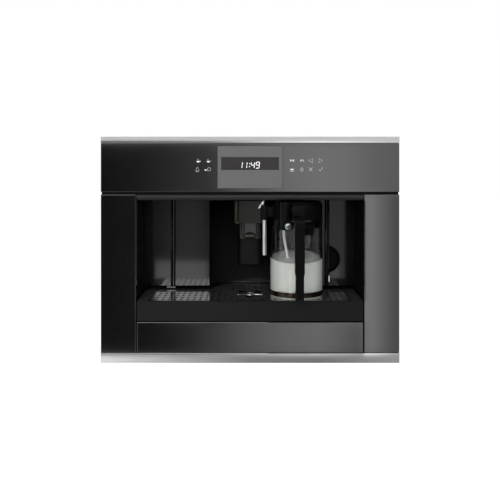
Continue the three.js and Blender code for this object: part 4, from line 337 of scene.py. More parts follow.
def zinc_material():
    finish = Finish("zinc-coated sheet", Metallic=0.75)
    return finish.surface(finish.group(SPANGLE), 0.08, 0.00005)


# the front
BLACK_GLASS = polished("black panel glass", tone(5), tone(8), 0.055, 0.02, IOR=2.0)
TRIM_STEEL = brushed("brushed trim steel", metal(0.66), 0.05, 0.2, 0.002, 0.03)
PLATE_GREY = moulded("display plate grey", tone(112), 0.45, 0.1, 1200.0, 0.01, Specular_IOR_Level=0.15)
SCREEN = polished("display window", tone(54, 51, 51), tone(58, 55, 55), 0.3, Specular_IOR_Level=0.12)
PRINT_WHITE = glowing_print("printed symbols", tone(232), 0.35)
CLOCK_WHITE = glowing_print("clock segments", tone(235), 0.85)
LINTEL_BLACK = moulded("lintel black", tone(32), 0.5, 0.15, 1200.0, 0.01, Specular_IOR_Level=0.25)
GAP_BLACK = moulded("front frame black", tone(9), 0.6, 0.1, 900.0, 0.0, Specular_IOR_Level=0.08)

# the niche and its service door
NICHE_BLACK = polished("niche liner black", tone(18), tone(22), 0.1)
LINER_BLACK = moulded("niche side black", tone(24), 0.6, 0.2, 900.0, 0.0, Specular_IOR_Level=0.05)
# darker than the niche's black: painted shade in the scoop's hollow
SCOOP_SHADE_BLACK = moulded("finger scoop painted shade", tone(10), 0.5, 0.1, 900.0, 0.0, Specular_IOR_Level=0.1)
DOOR_BLACK = polished("service door black", tone(20), tone(22), 0.09, 0.03)
BAR_BLACK = polished("door bar black", tone(14), tone(18), 0.14)
COVE_BLACK = moulded("cove lining black", tone(25), 0.5, 0.15, 900.0, 0.0, Specular_IOR_Level=0.06)
LAMP_LENS = moulded("niche lamp lens", tone(225, 223, 215), 0.35, 0.2, 500.0, 0.0)

# the spout
COLUMN_BLACK = polished("spout column black", tone(13), tone(16), 0.28, Specular_IOR_Level=0.16)
COVER_BLACK = polished(
    "spout cover black", tone(24, 23, 21), tone(30, 28, 25), 0.16, 0.05, Specular_IOR_Level=0.3
)
GLOSS_BLACK = polished("gloss black", tone(12), tone(16), 0.14, 0.05, Specular_IOR_Level=0.22)
NOZZLE_BLACK = polished("coffee outlet black", tone(22), tone(27), 0.16, Specular_IOR_Level=0.8)
# bright bronze for the spout cover's metal edge; its brightness there, and the spot at the lower left corner,
# are painted highlights
EDGE_HIGHLIGHT_BRONZE = polished("bronze edge highlight", metal(0.17, 0.15, 0.115), metal(0.15, 0.13, 0.1), 0.24, metallic=1.0)
# a bronze strip on the edge of the arch between the outlets: painted highlight
ARCH_HIGHLIGHT_BRONZE = polished(
    "bronze arch highlight", metal(0.085, 0.078, 0.066), metal(0.07, 0.064, 0.055), 0.3, metallic=1.0
)
CHROME = polished("chrome", metal(0.72, 0.72, 0.73), metal(0.66, 0.66, 0.67), 0.06, 0.03, 1.0)

# the drip tray
TRAY_BLACK = moulded("drip tray black", tone(28), 0.5, 0.3, 800.0, 0.0, Specular_IOR_Level=0.12)
# a lighter grey than the tray's front, for its top: painted light, as the top faces the lamp
TRAY_TOP_LIT_GREY = moulded("drip tray top painted lighter", tone(62), 0.5, 0.3, 800.0, 0.0, Specular_IOR_Level=0.2)
GRILLE_STEEL = polished(
    "polished grille steel", metal(0.74, 0.76, 0.76), metal(0.66, 0.68, 0.68), 0.14, metallic=0.93
)
# near black under the grille's thin steel top: painted shade on the slots' walls, which are steel in shadow
GRILLE_SLOT_SHADE = moulded("grille slot shade", tone(6), 0.6, 0.1, 900.0, 0.0, Specular_IOR_Level=0.05)
FLOAT_GREY = moulded("float grey", tone(44), 0.4, 0.1, 900.0, 0.02)

# the milk jug
JUG_GLASS = see_through("jug glass", (0.97, 0.98, 0.98, 1), 0.0, 1.38)
LID_BLACK = polished("jug lid black", tone(12), tone(15), 0.24, 0.05, Specular_IOR_Level=0.15)
HANDLE_BLACK = moulded("jug handle black", tone(15), 0.38, 0.15, 1000.0, 0.0, Specular_IOR_Level=0.06)
BAND_STEEL = polished("jug band bronze", tone(62, 50, 40), tone(48, 39, 32), 0.16, 0.06, 0.9)
TUBE_STEEL = polished("milk tube steel", metal(0.85, 0.83, 0.8), metal(0.8, 0.78, 0.74), 0.34, metallic=1.0)
BUTTON_CHROME = polished("satin chrome", metal(0.3, 0.34, 0.355), metal(0.26, 0.3, 0.31), 0.26, metallic=1.0)
TUBE_CLEAR = moulded("milk tube plastic", tone(225, 226, 224), 0.3, 0.05, 1400.0, 0.0)
MILK_DEPTH = dict(Subsurface_Weight=0.5, Subsurface_Scale=0.008, Subsurface_Radius=(1, 1, 1))
MILK = moulded("milk", tone(226, 228, 222), 0.3, 0.02, 300.0, 0.0, **MILK_DEPTH)

# the casing and the parts inside
ZINC = zinc_material()
SCREW_STEEL = polished("screw steel", metal(0.55, 0.55, 0.56), metal(0.42, 0.42, 0.44), 0.25, 0.1, 1.0)
TANK_CLEAR = see_through("clear tank plastic", (0.75, 0.82, 0.88, 1), 0.06, 1.49)
HOPPER_CLEAR = see_through("smoked hopper plastic", (0.45, 0.45, 0.46, 1), 0.1, 1.49)
GREY_PLASTIC = moulded("inner grey plastic", tone(92, 95, 98), 0.55, 0.25, 800.0, 0.04)
LID_GREY = moulded("lid grey plastic", tone(70, 72, 74), 0.5, 0.3, 800.0, 0.05)
DARK_PLASTIC = moulded("dark plastic", tone(30), 0.5, 0.25, 900.0, 0.03)
HOSE_WHITE = moulded("silicone hose", tone(222, 220, 212), 0.4, 0.1, 900.0, 0.02)
VESSEL = brushed("boiler metal", metal(0.5, 0.47, 0.43), 0.38, 0.2, 0.1)
BOARD_GREEN = moulded("circuit board", tone(28, 84, 52), 0.45, 0.2, 700.0, 0.02)


# ------------------------------------------------------------------ shapes
SAME_PLACE = 1e-6  # metres: corners closer than this are one


def loose_object(name, data):
    piece = bpy.data.objects.new(name, data)
    bpy.context.scene.collection.objects.link(piece)
    return piece


def mesh_from(work, name):
    """The mesh of a bmesh, which is freed."""
    mesh = bpy.data.meshes.new(name)
    work.to_mesh(mesh)
    work.free()
    return mesh


def closed_mesh(work, name):
    """The same, with its faces turned outwards."""
    bmesh.ops.recalc_face_normals(work, faces=work.faces)
    return mesh_from(work, name)


def sewn(mesh):
    """The mesh with its doubled corners joined and its faces turned outwards."""
    work = bmesh.new()
    work.from_mesh(mesh)
    bmesh.ops.remove_doubles(work, verts=work.verts, dist=SAME_PLACE)
    bmesh.ops.recalc_face_normals(work, faces=work.faces)
    work.to_mesh(mesh)
    work.free()
    return mesh


def merged_meshes(meshes):
    """Several meshes as one; their own materials go."""
    work = bmesh.new()
    for mesh in meshes:
        work.from_mesh(mesh)
        bpy.data.meshes.remove(mesh)
    return mesh_from(work, "merged")


def evaluated_mesh(piece):
    """The piece's mesh with its modifiers applied; the temporary object goes away."""
    bpy.context.view_layer.update()
    graph = bpy.context.evaluated_depsgraph_get()
    mesh = bpy.data.meshes.new_from_object(piece.evaluated_get(graph), depsgraph=graph)
    old = piece.data
    bpy.data.objects.remove(piece)
    if old.users == 0 and isinstance(old, bpy.types.Mesh):
        bpy.data.meshes.remove(old)
    return mesh


def evened(mesh):
    """The mesh with normals weighted by face size, so that flat faces stay flat up to their rounded edges."""
    piece = loose_object("evening", mesh)
    weighted = piece.modifiers.new("Even faces", "WEIGHTED_NORMAL")
    weighted.weight = 80
    weighted.keep_sharp = True
    return evaluated_mesh(piece)


def finished(mesh, name, material, node, replace=False, smooth=40.0):
    """Turns a mesh into a piece that rides on a CAD piece's body and may take that CAD piece's place.
    Faces that meet at less than smooth degrees are shaded as one; with None, all are flat."""
    if smooth is None:
        mesh.shade_flat()
    else:
        mesh.shade_smooth()
        mesh.set_sharp_from_angle(angle=math.radians(smooth))
        mesh = evened(mesh)
    mesh.name = name
    piece = loose_object(name, mesh)
    if not mesh.materials:
        mesh.materials.append(material)
    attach(piece, BODY_OF[node])
    if replace:
        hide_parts(node)


def upright_edges(work):
    """The edges of a bmesh that stand upright and are longer than 5 mm."""
    chosen = []
    for edge in work.edges:
        (x0, y0, z0), (x1, y1, z1) = (in_millimetres(corner.co) for corner in edge.verts)
        if max(abs(x0 - x1), abs(y0 - y1)) < 0.01 and abs(z0 - z1) > 5:
            chosen.append(edge)
    return chosen


def softened(node, material, width=0.4, segments=2, adjust=None, upright=None):
    """A copy of a CAD piece with its edges rounded as a moulding's or a folded sheet's are.
    adjust(x, y, z) gives a corner its new place; upright is the wider rounding of its upright edges."""
    mesh = NODES[node].data.copy()
    mesh.materials.clear()
    work = bmesh.new()
    work.from_mesh(mesh)
    bmesh.ops.remove_doubles(work, verts=work.verts, dist=2 * SAME_PLACE)
    bmesh.ops.dissolve_limit(work, angle_limit=math.radians(0.5), verts=work.verts, edges=work.edges)
    if adjust:
        for corner in work.verts:
            corner.co = at(*adjust(*in_millimetres(corner.co)))
    if upright:
        rounding = dict(offset=upright / 1000, segments=10, profile=0.5, affect="EDGES", clamp_overlap=True)
        bmesh.ops.bevel(work, geom=upright_edges(work), **rounding)
    work.to_mesh(mesh)
    work.free()
    piece = loose_object(node + "_rounding", mesh)
    bevel = piece.modifiers.new("Bevel", "BEVEL")
    bevel.width = width / 1000
    bevel.segments = segments
    bevel.limit_method = "ANGLE"
    bevel.angle_limit = math.radians(30)
    bevel.use_clamp_overlap = True
    finished(evaluated_mesh(piece), node + "_piece", material, node, replace=True)


def repaint(node, material):
    """Gives a CAD piece its finish and leaves its shape alone."""
    slots = NODES[node].material_slots
    if slots:
        for slot in slots:
            slot.link = "DATA"
            slot.material = material
    else:
        NODES[node].data.materials.append(material)


def arc(cx, cy, radius, start, end, steps):
    """Points on a circle, from one angle in degrees to another."""
    angles = [math.radians(start + (end - start) * i / steps) for i in range(steps + 1)]
    return [(cx + radius * math.cos(a), cy + radius * math.sin(a)) for a in angles]


def oval(cx, cy, half_wide, half_deep, steps):
    """A closed oval, without its first point again at the end."""
    angles = [2 * math.pi * i / steps for i in range(steps)]
    return [(cx + half_wide * math.cos(a), cy + half_deep * math.sin(a)) for a in angles]


def rounded_outline(x0, x1, y0, y1, radius, steps=6):
    left, right, near, far = x0 + radius, x1 - radius, y0 + radius, y1 - radius
    corners = ((right, near, -90), (right, far, 0), (left, far, 90), (left, near, 180))
    return [point for cx, cy, start in corners for point in arc(cx, cy, radius, start, start + 90, steps)]


def turned(profile, x, y, segments=72):
    """A profile of [radius, height], closed or from axis to axis, turned about an upright axis at x, y."""
    work = bmesh.new()
    rings = []
    for radius, height in profile:
        ring = oval(x, y, radius, radius, segments) if radius else [(x, y)]
        rings.append([work.verts.new(at(*point, height)) for point in ring])
    closed = profile[0][0] > 0 and profile[-1][0] > 0
    for k in range(len(rings) if closed else len(rings) - 1):
        low, high = rings[k], rings[(k + 1) % len(rings)]
        for i in range(segments):
            j = (i + 1) % segments
            corners = [low[i % len(low)], low[j % len(low)], high[j % len(high)], high[i % len(high)]]
            unique = list(dict.fromkeys(corners))
            if len(unique) > 2:
                work.faces.new(unique)
    return closed_mesh(work, "turned")


def turned_forward(profile, x, z, segments=64):
    """A profile of [radius, depth] turned about an axis that runs front to back."""
    mesh = turned(profile, 0, 0, segments)
    swing = Matrix.Rotation(math.radians(-90), 4, "X")
    mesh.transform(Matrix.Translation(at(x, 0, z)) @ swing @ Matrix.Translation(-at(0, 0, 0)))
    return mesh


def flat_plate(outer, holes, low, high, edge=0.0, plane="xy"):
    """A plate with holes, its outlines filled as a flat curve and given its thickness and a small round edge.
    Low and high are heights in plane xy, depths in plane xz and distances across in plane yz."""
    curve = bpy.data.curves.new("plate", "CURVE")
    curve.dimensions = "2D"
    curve.fill_mode = "BOTH"
    curve.extrude = (high - low) / 2000 - edge / 1000
    curve.bevel_depth = edge / 1000
    curve.bevel_resolution = 3 if edge else 0
    curve.offset = -edge / 1000
    for outline in [outer, *holes]:
        spline = curve.splines.new("POLY")
        spline.points.add(len(outline) - 1)
        for point, (u, v) in zip(spline.points, outline):
            point.co = (u / 1000, v / 1000, 0, 1)
        spline.use_cyclic_u = True
    mesh = evaluated_mesh(loose_object("plate", curve))
    bpy.data.curves.remove(curve)
    middle = (low + high) / 2
    if plane == "xy":
        mesh.transform(Matrix.Translation(at(0, 0, middle)))
    elif plane == "xz":
        mesh.transform(Matrix.Translation(at(0, middle, 0)) @ Matrix.Rotation(math.radians(90), 4, "X"))
    else:
        to_side = Matrix(((0, 0, 1, 0), (1, 0, 0, 0), (0, 1, 0, 0), (0, 0, 0, 1)))
        mesh.transform(Matrix.Translation(at(middle, 0, 0)) @ to_side)
    return sewn(mesh)


def swept(route, radius, sides, steps):
    """A round rod along a smooth route of [x, y, z] points."""
    curve = bpy.data.curves.new("route", "CURVE")
    curve.dimensions = "3D"
    curve.bevel_depth = radius / 1000
    curve.bevel_resolution = sides // 4
    curve.resolution_u = steps
    curve.use_fill_caps = True
    spline = curve.splines.new("BEZIER")
    spline.bezier_points.add(len(route) - 1)
    for point, place in zip(spline.bezier_points, route):
        point.co = at(*place)
        point.handle_left_type = point.handle_right_type = "AUTO"
    mesh = evaluated_mesh(loose_object("route", curve))
    bpy.data.curves.remove(curve)
    return sewn(mesh)


PRINT = 0.12  # thickness of a print


def stroke(points, width, y_front, closed=False):
    """A drawn line of even width on the front, through x and z places, as a thin raised print."""
    work = bmesh.new()
    count = len(points)
    left, right = [], []
    for i, (x, z) in enumerate(points):
        if closed:
            before, after = points[i - 1], points[(i + 1) % count]
        else:
            before, after = points[max(i - 1, 0)], points[min(i + 1, count - 1)]
        dx, dz = after[0] - before[0], after[1] - before[1]
        length = math.hypot(dx, dz) or 1.0
        nx, nz = -dz / length * width / 2, dx / length * width / 2
        left.append((x + nx, z + nz))
        right.append((x - nx, z - nz))
    front, back = (
        [[work.verts.new(at(x, depth, z)) for x, z in side] for side in (left, right)]
        for depth in (y_front, y_front + PRINT)
    )
    for i in range(count if closed else count - 1):
        j = (i + 1) % count
        for corners in (
            (front[0][i], front[0][j], front[1][j], front[1][i]),
            (back[0][i], back[1][i], back[1][j], back[0][j]),
            (front[0][i], back[0][i], back[0][j], front[0][j]),
            (front[1][i], front[1][j], back[1][j], back[1][i]),
        ):
            work.faces.new(corners)
    if not closed:
        for i in (0, count - 1):
            work.faces.new((front[0][i], front[1][i], back[1][i], back[0][i]))
    return closed_mesh(work, "stroke")


def prism(outlines, name):
    """A solid between two outlines of equally many places."""
    work = bmesh.new()
    first, second = ([work.verts.new(place) for place in outline] for outline in outlines)
    work.faces.new(first)
    work.faces.new(list(reversed(second)))
    for i in range(len(first)):
        j = (i + 1) % len(first)
        work.faces.new((first[i], second[i], second[j], first[j]))
    return closed_mesh(work, name)


def filled(points, y_front):
    """A filled shape on the front, from an outline of x and z places."""
    return prism([[at(x, y, z) for x, z in points] for y in (y_front, y_front + PRINT)], "filled")


# ------------------------------------------------------------------ repeated pieces, by Geometry Nodes
def geometry_tree(name, inputs):
    """An empty tree that makes a geometry; returns it with its given values."""
    tree = bpy.data.node_groups.new(name, "GeometryNodeTree")
    tree.interface.new_socket(name="Geometry", in_out="INPUT", socket_type="NodeSocketGeometry")
    for label, kind, default in inputs:
        socket = tree.interface.new_socket(name=label, in_out="INPUT", socket_type="NodeSocket" + kind)
        if default is not None:
            socket.default_value = default
    tree.interface.new_socket(name="Geometry", in_out="OUTPUT", socket_type="NodeSocketGeometry")
    return tree, add_node(tree, "NodeGroupInput", (-800, 0)).outputs


def vector_node(tree, operation, first, second, at_xy):
    """A sum of two vectors, or a vector scaled by a number."""
    sources = {0: first, "Scale" if operation == "SCALE" else 1: second}
    return add_node(tree, "ShaderNodeVectorMath", at_xy, sources, operation=operation).outputs[0]


def real_copies(tree, given, points, rotation):
    """Copies of the given piece on points, as plain geometry."""
    piece = add_node(
        tree, "GeometryNodeObjectInfo", (100, 450), {"Object": given["Piece"]}, transform_space="ORIGINAL"
    )
    sources = {"Points": points, "Instance": piece.outputs["Geometry"], "Rotation": rotation}
    copies = add_node(tree, "GeometryNodeInstanceOnPoints", (300, 200), sources)
    return add_node(tree, "GeometryNodeRealizeInstances", (450, 200), {0: copies.outputs[0]}).outputs[0]


def painted(tree, given, geometry):
    """Ends the tree: the geometry with the given material."""
    sources = {"Geometry": geometry, "Material": given["Material"]}
    paint = add_node(tree, "GeometryNodeSetMaterial", (750, 200), sources)
    add_node(tree, "NodeGroupOutput", (900, 0), {0: paint.outputs[0]})
    return tree


def rows_tree():
    """Copies of one piece in a row of rows: a count and a step along each of two directions."""
    tree, given = geometry_tree(
        "Rows of pieces",
        [
            ("Piece", "Object", None),
            ("Start", "Vector", (0, 0, 0)),
            ("Columns", "Int", 4),
            ("Column step", "Vector", (0.01, 0, 0)),
            ("Rows", "Int", 1),
            ("Row step", "Vector", (0, 0, 0.01)),
            ("Turn", "Vector", (0, 0, 0)),
            ("Material", "Material", None),
        ],
    )
    total = math_node(tree, "MULTIPLY", given["Columns"], given["Rows"], (-600, 200))
    points = add_node(tree, "GeometryNodePoints", (-400, 200), {"Count": total}).outputs[0]
    index = add_node(tree, "GeometryNodeInputIndex", (-600, -100)).outputs[0]
    column = math_node(tree, "MODULO", index, given["Columns"], (-400, -50))
    row = math_node(tree, "DIVIDE", index, given["Columns"], (-400, -250))
    row = math_node(tree, "FLOOR", row, 0.0, (-250, -250))
    along = vector_node(tree, "SCALE", given["Column step"], column, (-200, -50))
    across = vector_node(tree, "SCALE", given["Row step"], row, (-50, -250))
    place = vector_node(tree, "ADD", along, across, (50, -50))
    place = vector_node(tree, "ADD", place, given["Start"], (200, -50))
    sources = {"Geometry": points, "Position": place}
    points = add_node(tree, "GeometryNodeSetPosition", (300, 0), sources).outputs[0]
    return painted(tree, given, real_copies(tree, given, points, given["Turn"]))


def ring_tree():
    """Copies of one piece round a circle, each turned to face outwards."""
    tree, given = geometry_tree(
        "Ring of pieces",
        [
            ("Piece", "Object", None),
            ("Count", "Int", 12),
            ("Radius", "Float", 0.01),
            ("Centre", "Vector", (0, 0, 0)),
            ("Tilt", "Vector", (0, 0, 0)),
            ("Material", "Material", None),
        ],
    )
    sources = {"Vertices": given["Count"], "Radius": given["Radius"]}
    circle = add_node(tree, "GeometryNodeMeshCircle", (-500, 200), sources, fill_type="NONE").outputs[0]
    index = add_node(tree, "GeometryNodeInputIndex", (-600, -100)).outputs[0]
    part = math_node(tree, "DIVIDE", index, given["Count"], (-400, -100))
    angle = math_node(tree, "MULTIPLY", part, 2 * math.pi, (-250, -100))
    spin = add_node(tree, "ShaderNodeCombineXYZ", (-100, -100), {"Z": angle}).outputs[0]
    copies = real_copies(tree, given, circle, spin)
    sources = {"Geometry": copies, "Rotation": given["Tilt"], "Translation": given["Centre"]}
    return painted(tree, given, add_node(tree, "GeometryNodeTransform", (600, 200), sources).outputs[0])


ROWS, RING = rows_tree(), ring_tree()


def grown(tree, material, pattern, **values):
    """The plain mesh that a tree makes of a pattern object."""
    carrier = loose_object("carrier", bpy.data.meshes.new("carrier"))
    modifier = carrier.modifiers.new("Grow", "NODES")
    modifier.node_group = tree
    values = spaced(dict(values, Piece=pattern, Material=material))
    for socket in tree.interface.items_tree:
        if socket.in_out == "INPUT" and socket.name in values:
            modifier[socket.identifier] = values[socket.name]
    return evaluated_mesh(carrier)


def in_metres(values):
    return tuple(value / 1000 for value in values)


def in_radians(values):
    return tuple(math.radians(value) for value in values)


def screw_head(radius, height):
    """A pan-head screw with a cross recess, its head up along z, at the world's origin."""
    steps = 20
    profile = [(radius, 0), (radius, height * 0.45), (radius * 0.82, height * 0.85), (radius * 0.5, height)]
    work = bmesh.new()
    rings = []
    for r, h in profile:
        rings.append([work.verts.new(Vector((x, y, h)) / 1000) for x, y in oval(0, 0, r, r, steps)])
    for low, high in zip(rings, rings[1:]):
        for i in range(steps):
            work.faces.new((low[i], low[(i + 1) % steps], high[(i + 1) % steps], high[i]))
    work.faces.new(list(reversed(rings[0])))
    arm, half = radius * 0.42, radius * 0.11
    cross = []
    for quarter in range(4):
        a = math.pi / 2 * quarter
        for u, v in ((arm, -half), (arm, half), (half, half)):
            cross.append((u * math.cos(a) - v * math.sin(a), u * math.sin(a) + v * math.cos(a)))
    top = [work.verts.new(Vector((u, v, height)) / 1000) for u, v in cross]
    deep = [work.verts.new(Vector((u * 0.6, v * 0.6, height * 0.35)) / 1000) for u, v in cross]
    for i in range(12):
        j = (i + 1) % 12
        work.faces.new((top[i], top[j], deep[j], deep[i]))
    work.faces.new(deep)
    edges = []
    for loop in (rings[-1], top):
        edges += [work.edges.get((loop[i], loop[(i + 1) % len(loop)])) for i in range(len(loop))]
    bmesh.ops.triangle_fill(work, edges=edges, use_beauty=True)
    return loose_object("screw_pattern", closed_mesh(work, "screw"))


def rounded_bar(length, width, height, edge):
    """A bar along z with rounded edges, for ribs: its back on x = 0, its crown outwards along x."""
    half, foot = width / 2, -0.4
    outline = [(foot, -half), (height - edge, -half), (height, -half + edge), (height, half - edge)]
    outline += [(height - edge, half), (foot, half)]
    ends = [[Vector((u, v, level)) / 1000 for u, v in outline] for level in (0, length)]
    return loose_object("rib_pattern", prism(ends, "rib"))


# ------------------------------------------------------------------ camera: level, straight on, a little high
CAMERA_BACK, CAMERA_UP = 1.25, 0.391
FRAME_WIDE = 0.99565  # width of the picture at the plane of the glass
FRAME_MIDDLE_UP = 0.226
SENSOR = 36.0
camera_data = bpy.data.cameras.new("Camera")
camera_data.sensor_width = SENSOR
camera_data.lens = SENSOR * CAMERA_BACK / FRAME_WIDE
camera_data.shift_x = -0.00012
camera_data.shift_y = (FRAME_MIDDLE_UP - CAMERA_UP) / FRAME_WIDE
camera_data.clip_start = 0.05
camera = loose_object("Camera", camera_data)
camera.location = (0.0, FRONT_Y - CAMERA_BACK, CAMERA_UP)
camera.rotation_euler = (math.radians(90), 0, 0)
bpy.context.scene.camera = camera

# ------------------------------------------------------------------ the CAD pieces' finishes
RAILS = ("rail_bracket_", "outer_rail_", "middle_rail_", "inner_rail_")
SIDE_NODES = [part + side for side in ("right", "left") for part in (*RAILS, "side_panel_")]
SHEET_NODES = ["base_pan", "rear_panel", "top_cover"]
FINISHES = {
    ZINC: " ".join(SIDE_NODES + SHEET_NODES),
    NICHE_BLACK: "niche_wall_left niche_wall_right niche_ceiling",
    LINTEL_BLACK: "niche_lintel",
    DARK_PLASTIC: "front_frame grind_knob grounds_bin mains_inlet power_switch",
    TRAY_BLACK: "drip_tray",
    HANDLE_BLACK: "jug_handle froth_dial",
    DOOR_BLACK: "service_door door_hinge_bar door_grip_bar spout_column spout_nozzles",
    GLOSS_BLACK: "spout_cover jug_lid",
    BLACK_GLASS: "control_glass column_glass_left column_glass_right lower_glass",
    TRIM_STEEL: "top_trim bottom_trim",
    GRILLE_STEEL: "drip_grille",
    CHROME: "steam_nozzle clean_button milk_outlet_tube",
    BAND_STEEL: "jug_band",
    PLATE_GREY: "display_plate",
    SCREEN: "display_window",
    BOARD_GREEN: "control_board",
    LAMP_LENS: "niche_lamp",
    GREY_PLASTIC: "inner_frame grinder brew_unit pump",
    LID_GREY: "water_tank_lid bean_lid",
    FLOAT_GREY: "tray_float",
    JUG_GLASS: "jug_glass",
    TUBE_CLEAR: "milk_intake_tube",
    TANK_CLEAR: "water_tank",
    HOPPER_CLEAR: "bean_hopper",
    VESSEL: "boiler",
    HOSE_WHITE: "water_hose",
}
for material, names in FINISHES.items():
    for node in names.split():
        repaint(node, material)


# ------------------------------------------------------------------ front: glass panels, trims, display
GLASS_EDGES = {"control_glass": 0.3, "column_glass_left": 0.45, "column_glass_right": 0.3, "lower_glass": 0.5}
for node, edge in GLASS_EDGES.items():
    softened(node, BLACK_GLASS, edge, 4)
softened("top_trim", TRIM_STEEL, 0.5, 3)
softened("bottom_trim", TRIM_STEEL, 0.5, 3)
softened("display_plate", PLATE_GREY, 0.15, 2)
softened("display_window", SCREEN, 0.1, 1)
softened("niche_lintel", LINTEL_BLACK, 0.5, 2)
softened("front_frame", GAP_BLACK, 0.5, 2)

PRINT_Y = -0.13  # the symbols lie just in front of the glass
LINE, BOLD_LINE = 0.42, 0.95


def line(points, width=LINE, closed=False):
    return stroke(points, width, PRINT_Y, closed)


def cup(x, z, size=1.0):
    """A small bowl with its handle."""
    bowl = filled(arc(x, z, 3.1 * size, 180, 360, 14), PRINT_Y)
    return [bowl, line(arc(x + 3.2 * size, z - 0.9 * size, 1.3 * size, -70, 90, 8))]


def steaming_cup(x, z):
    steam = [(x - 0.6, z + 1.2), (x - 1.3, z + 2.4), (x + 0.2, z + 3.6), (x - 0.4, z + 5.0)]
    return cup(x, z) + [line(steam)]


def drop(x, z, size=1.0):
    return line(arc(x, z - 1.2 * size, 3.0 * size, -215, 35, 18) + [(x, z + 5.0 * size)], closed=True)


def arrow(x, z, way):
    return line([(x - 3.6 * way, z + 4.4), (x - 3.6 * way, z - 4.4), (x + 3.9 * way, z)], closed=True)


def bean(x, z, lean):
    """A small oval that leans by an angle in degrees."""
    cos, sin = math.cos(math.radians(lean)), math.sin(math.radians(lean))
    outline = [(x + u * cos - v * sin, z + u * sin + v * cos) for u, v in oval(0, 0, 1.3, 2.2, 20)]
    return filled(outline, PRINT_Y)


symbols = steaming_cup(-103.3, 403.2) + steaming_cup(-83.2, 403.2)
symbols += [drop(-104.9, 386.0)] + cup(-88.6, 386.2, 0.7)
symbols += [line(arc(-81.6, 387.0, 3.4, 0, 345, 20), closed=True)]
symbols += [bean(81.2, 404.4, 25), bean(86.4, 404.0, -20)]
symbols += [line([(99.4, 402.4), (101.3, 406.2), (103.2, 402.8), (105.1, 406.2), (107.0, 402.4)], BOLD_LINE)]
symbols += [arrow(120.9, 404.2, -1), arrow(140.6, 404.2, 1)]
symbols += cup(83.0, 387.4, 0.95) + [line([(78.6, 382.6), (88.0, 382.6)])]
symbols += [drop(103.2, 386.6, 0.85)]
symbols += [line([(117.2, 383.2), (124.2, 390.0)]), line([(117.2, 390.0), (124.2, 383.2)])]
symbols += [line([(136.4, 386.6), (139.2, 383.4), (144.6, 390.2)])]
finished(merged_meshes(symbols), "panel_symbols", PRINT_WHITE, "control_glass", smooth=None)

# the clock: seven-segment figures that lean a little to the right
SEGMENTS_OF = {"1": "bc", "4": "bcfg", "9": "abcdfg"}
FIGURE_WIDE, FIGURE_HIGH, FIGURE_BOLD, FIGURE_LEAN, SEGMENT_GAP = 6.6, 12.0, 1.15, 0.12, 0.28
CLOCK_Y, CLOCK_Z = 0.05, 395.0


def figure(mark, x):
    """A figure of the clock, one pointed bar for each of its segments."""
    half_w, half_h, b = FIGURE_WIDE / 2, FIGURE_HIGH / 2, FIGURE_BOLD / 2
    segments = {
        "a": ((-half_w, half_h), (half_w, half_h)),
        "b": ((half_w, half_h), (half_w, 0)),
        "c": ((half_w, 0), (half_w, -half_h)),
        "d": ((-half_w, -half_h), (half_w, -half_h)),
        "f": ((-half_w, half_h), (-half_w, 0)),
        "g": ((-half_w, 0), (half_w, 0)),
    }
    bars = []
    for key in SEGMENTS_OF[mark]:
        (u0, v0), (u1, v1) = segments[key]
        length = math.hypot(u1 - u0, v1 - v0)
        du, dv = (u1 - u0) / length, (v1 - v0) / length
        near, far = SEGMENT_GAP + b, length - SEGMENT_GAP - b
        corners = []
        for along, aside in ((near - b, 0), (near, b), (far, b), (far + b, 0), (far, -b), (near, -b)):
            u, v = u0 + du * along - dv * aside, v0 + dv * along + du * aside
            corners.append((x + u + FIGURE_LEAN * v, CLOCK_Z + v))
        bars.append(filled(corners, CLOCK_Y))
    return bars


clock = figure("1", -19.0) + figure("1", -9.6) + figure("4", 5.4) + figure("9", 15.2)
for rise in (-3.0, 3.0):
    clock.append(filled(arc(-0.9 + FIGURE_LEAN * rise, CLOCK_Z + rise, 0.95, 0, 330, 11), CLOCK_Y))
finished(merged_meshes(clock), "clock_figures", CLOCK_WHITE, "display_window", smooth=None)

# ------------------------------------------------------------------ niche
for node in ("niche_wall_left", "niche_wall_right"):
    softened(node, NICHE_BLACK, 0.12, 1)
LINER_IN, LINER_OUT = 228.6, 228.95
LINER_FRONT, LINER_BACK, LINER_LOW, LINER_HIGH = 22.5, 129.8, 125.0, 324.2
for side in ("left", "right"):
    inner, outer = (-LINER_OUT, -LINER_IN) if side == "left" else (LINER_IN, LINER_OUT)
    outline = rounded_outline(LINER_FRONT, LINER_BACK, LINER_LOW, LINER_HIGH, 1.0)
    liner = flat_plate(outline, [], inner, outer, 0.1, "yz")
    finished(liner, "side_liner_" + side, LINER_BLACK, "niche_wall_left", smooth=35)

# the half-round finger scoop in the right back panel, which ends at the panel's edge
PANEL_FRONT = 130.0
SCOOP_X, SCOOP_Z, SCOOP_R, SCOOP_EDGE, SCOOP_BACK = 167.5, 189.0, 30.0, 174.8, 150.0
SCOOP_ANGLE = math.degrees(math.acos((SCOOP_EDGE - SCOOP_X) / SCOOP_R)) - 1


def scoop_arc(radius, way=1):
    return arc(SCOOP_X, SCOOP_Z, radius, -SCOOP_ANGLE * way, SCOOP_ANGLE * way, 30)


def scoop_ring(outside, inside, low, high, edge=0.0):
    return flat_plate(scoop_arc(outside) + scoop_arc(inside, -1), [], low, high, edge, "xz")


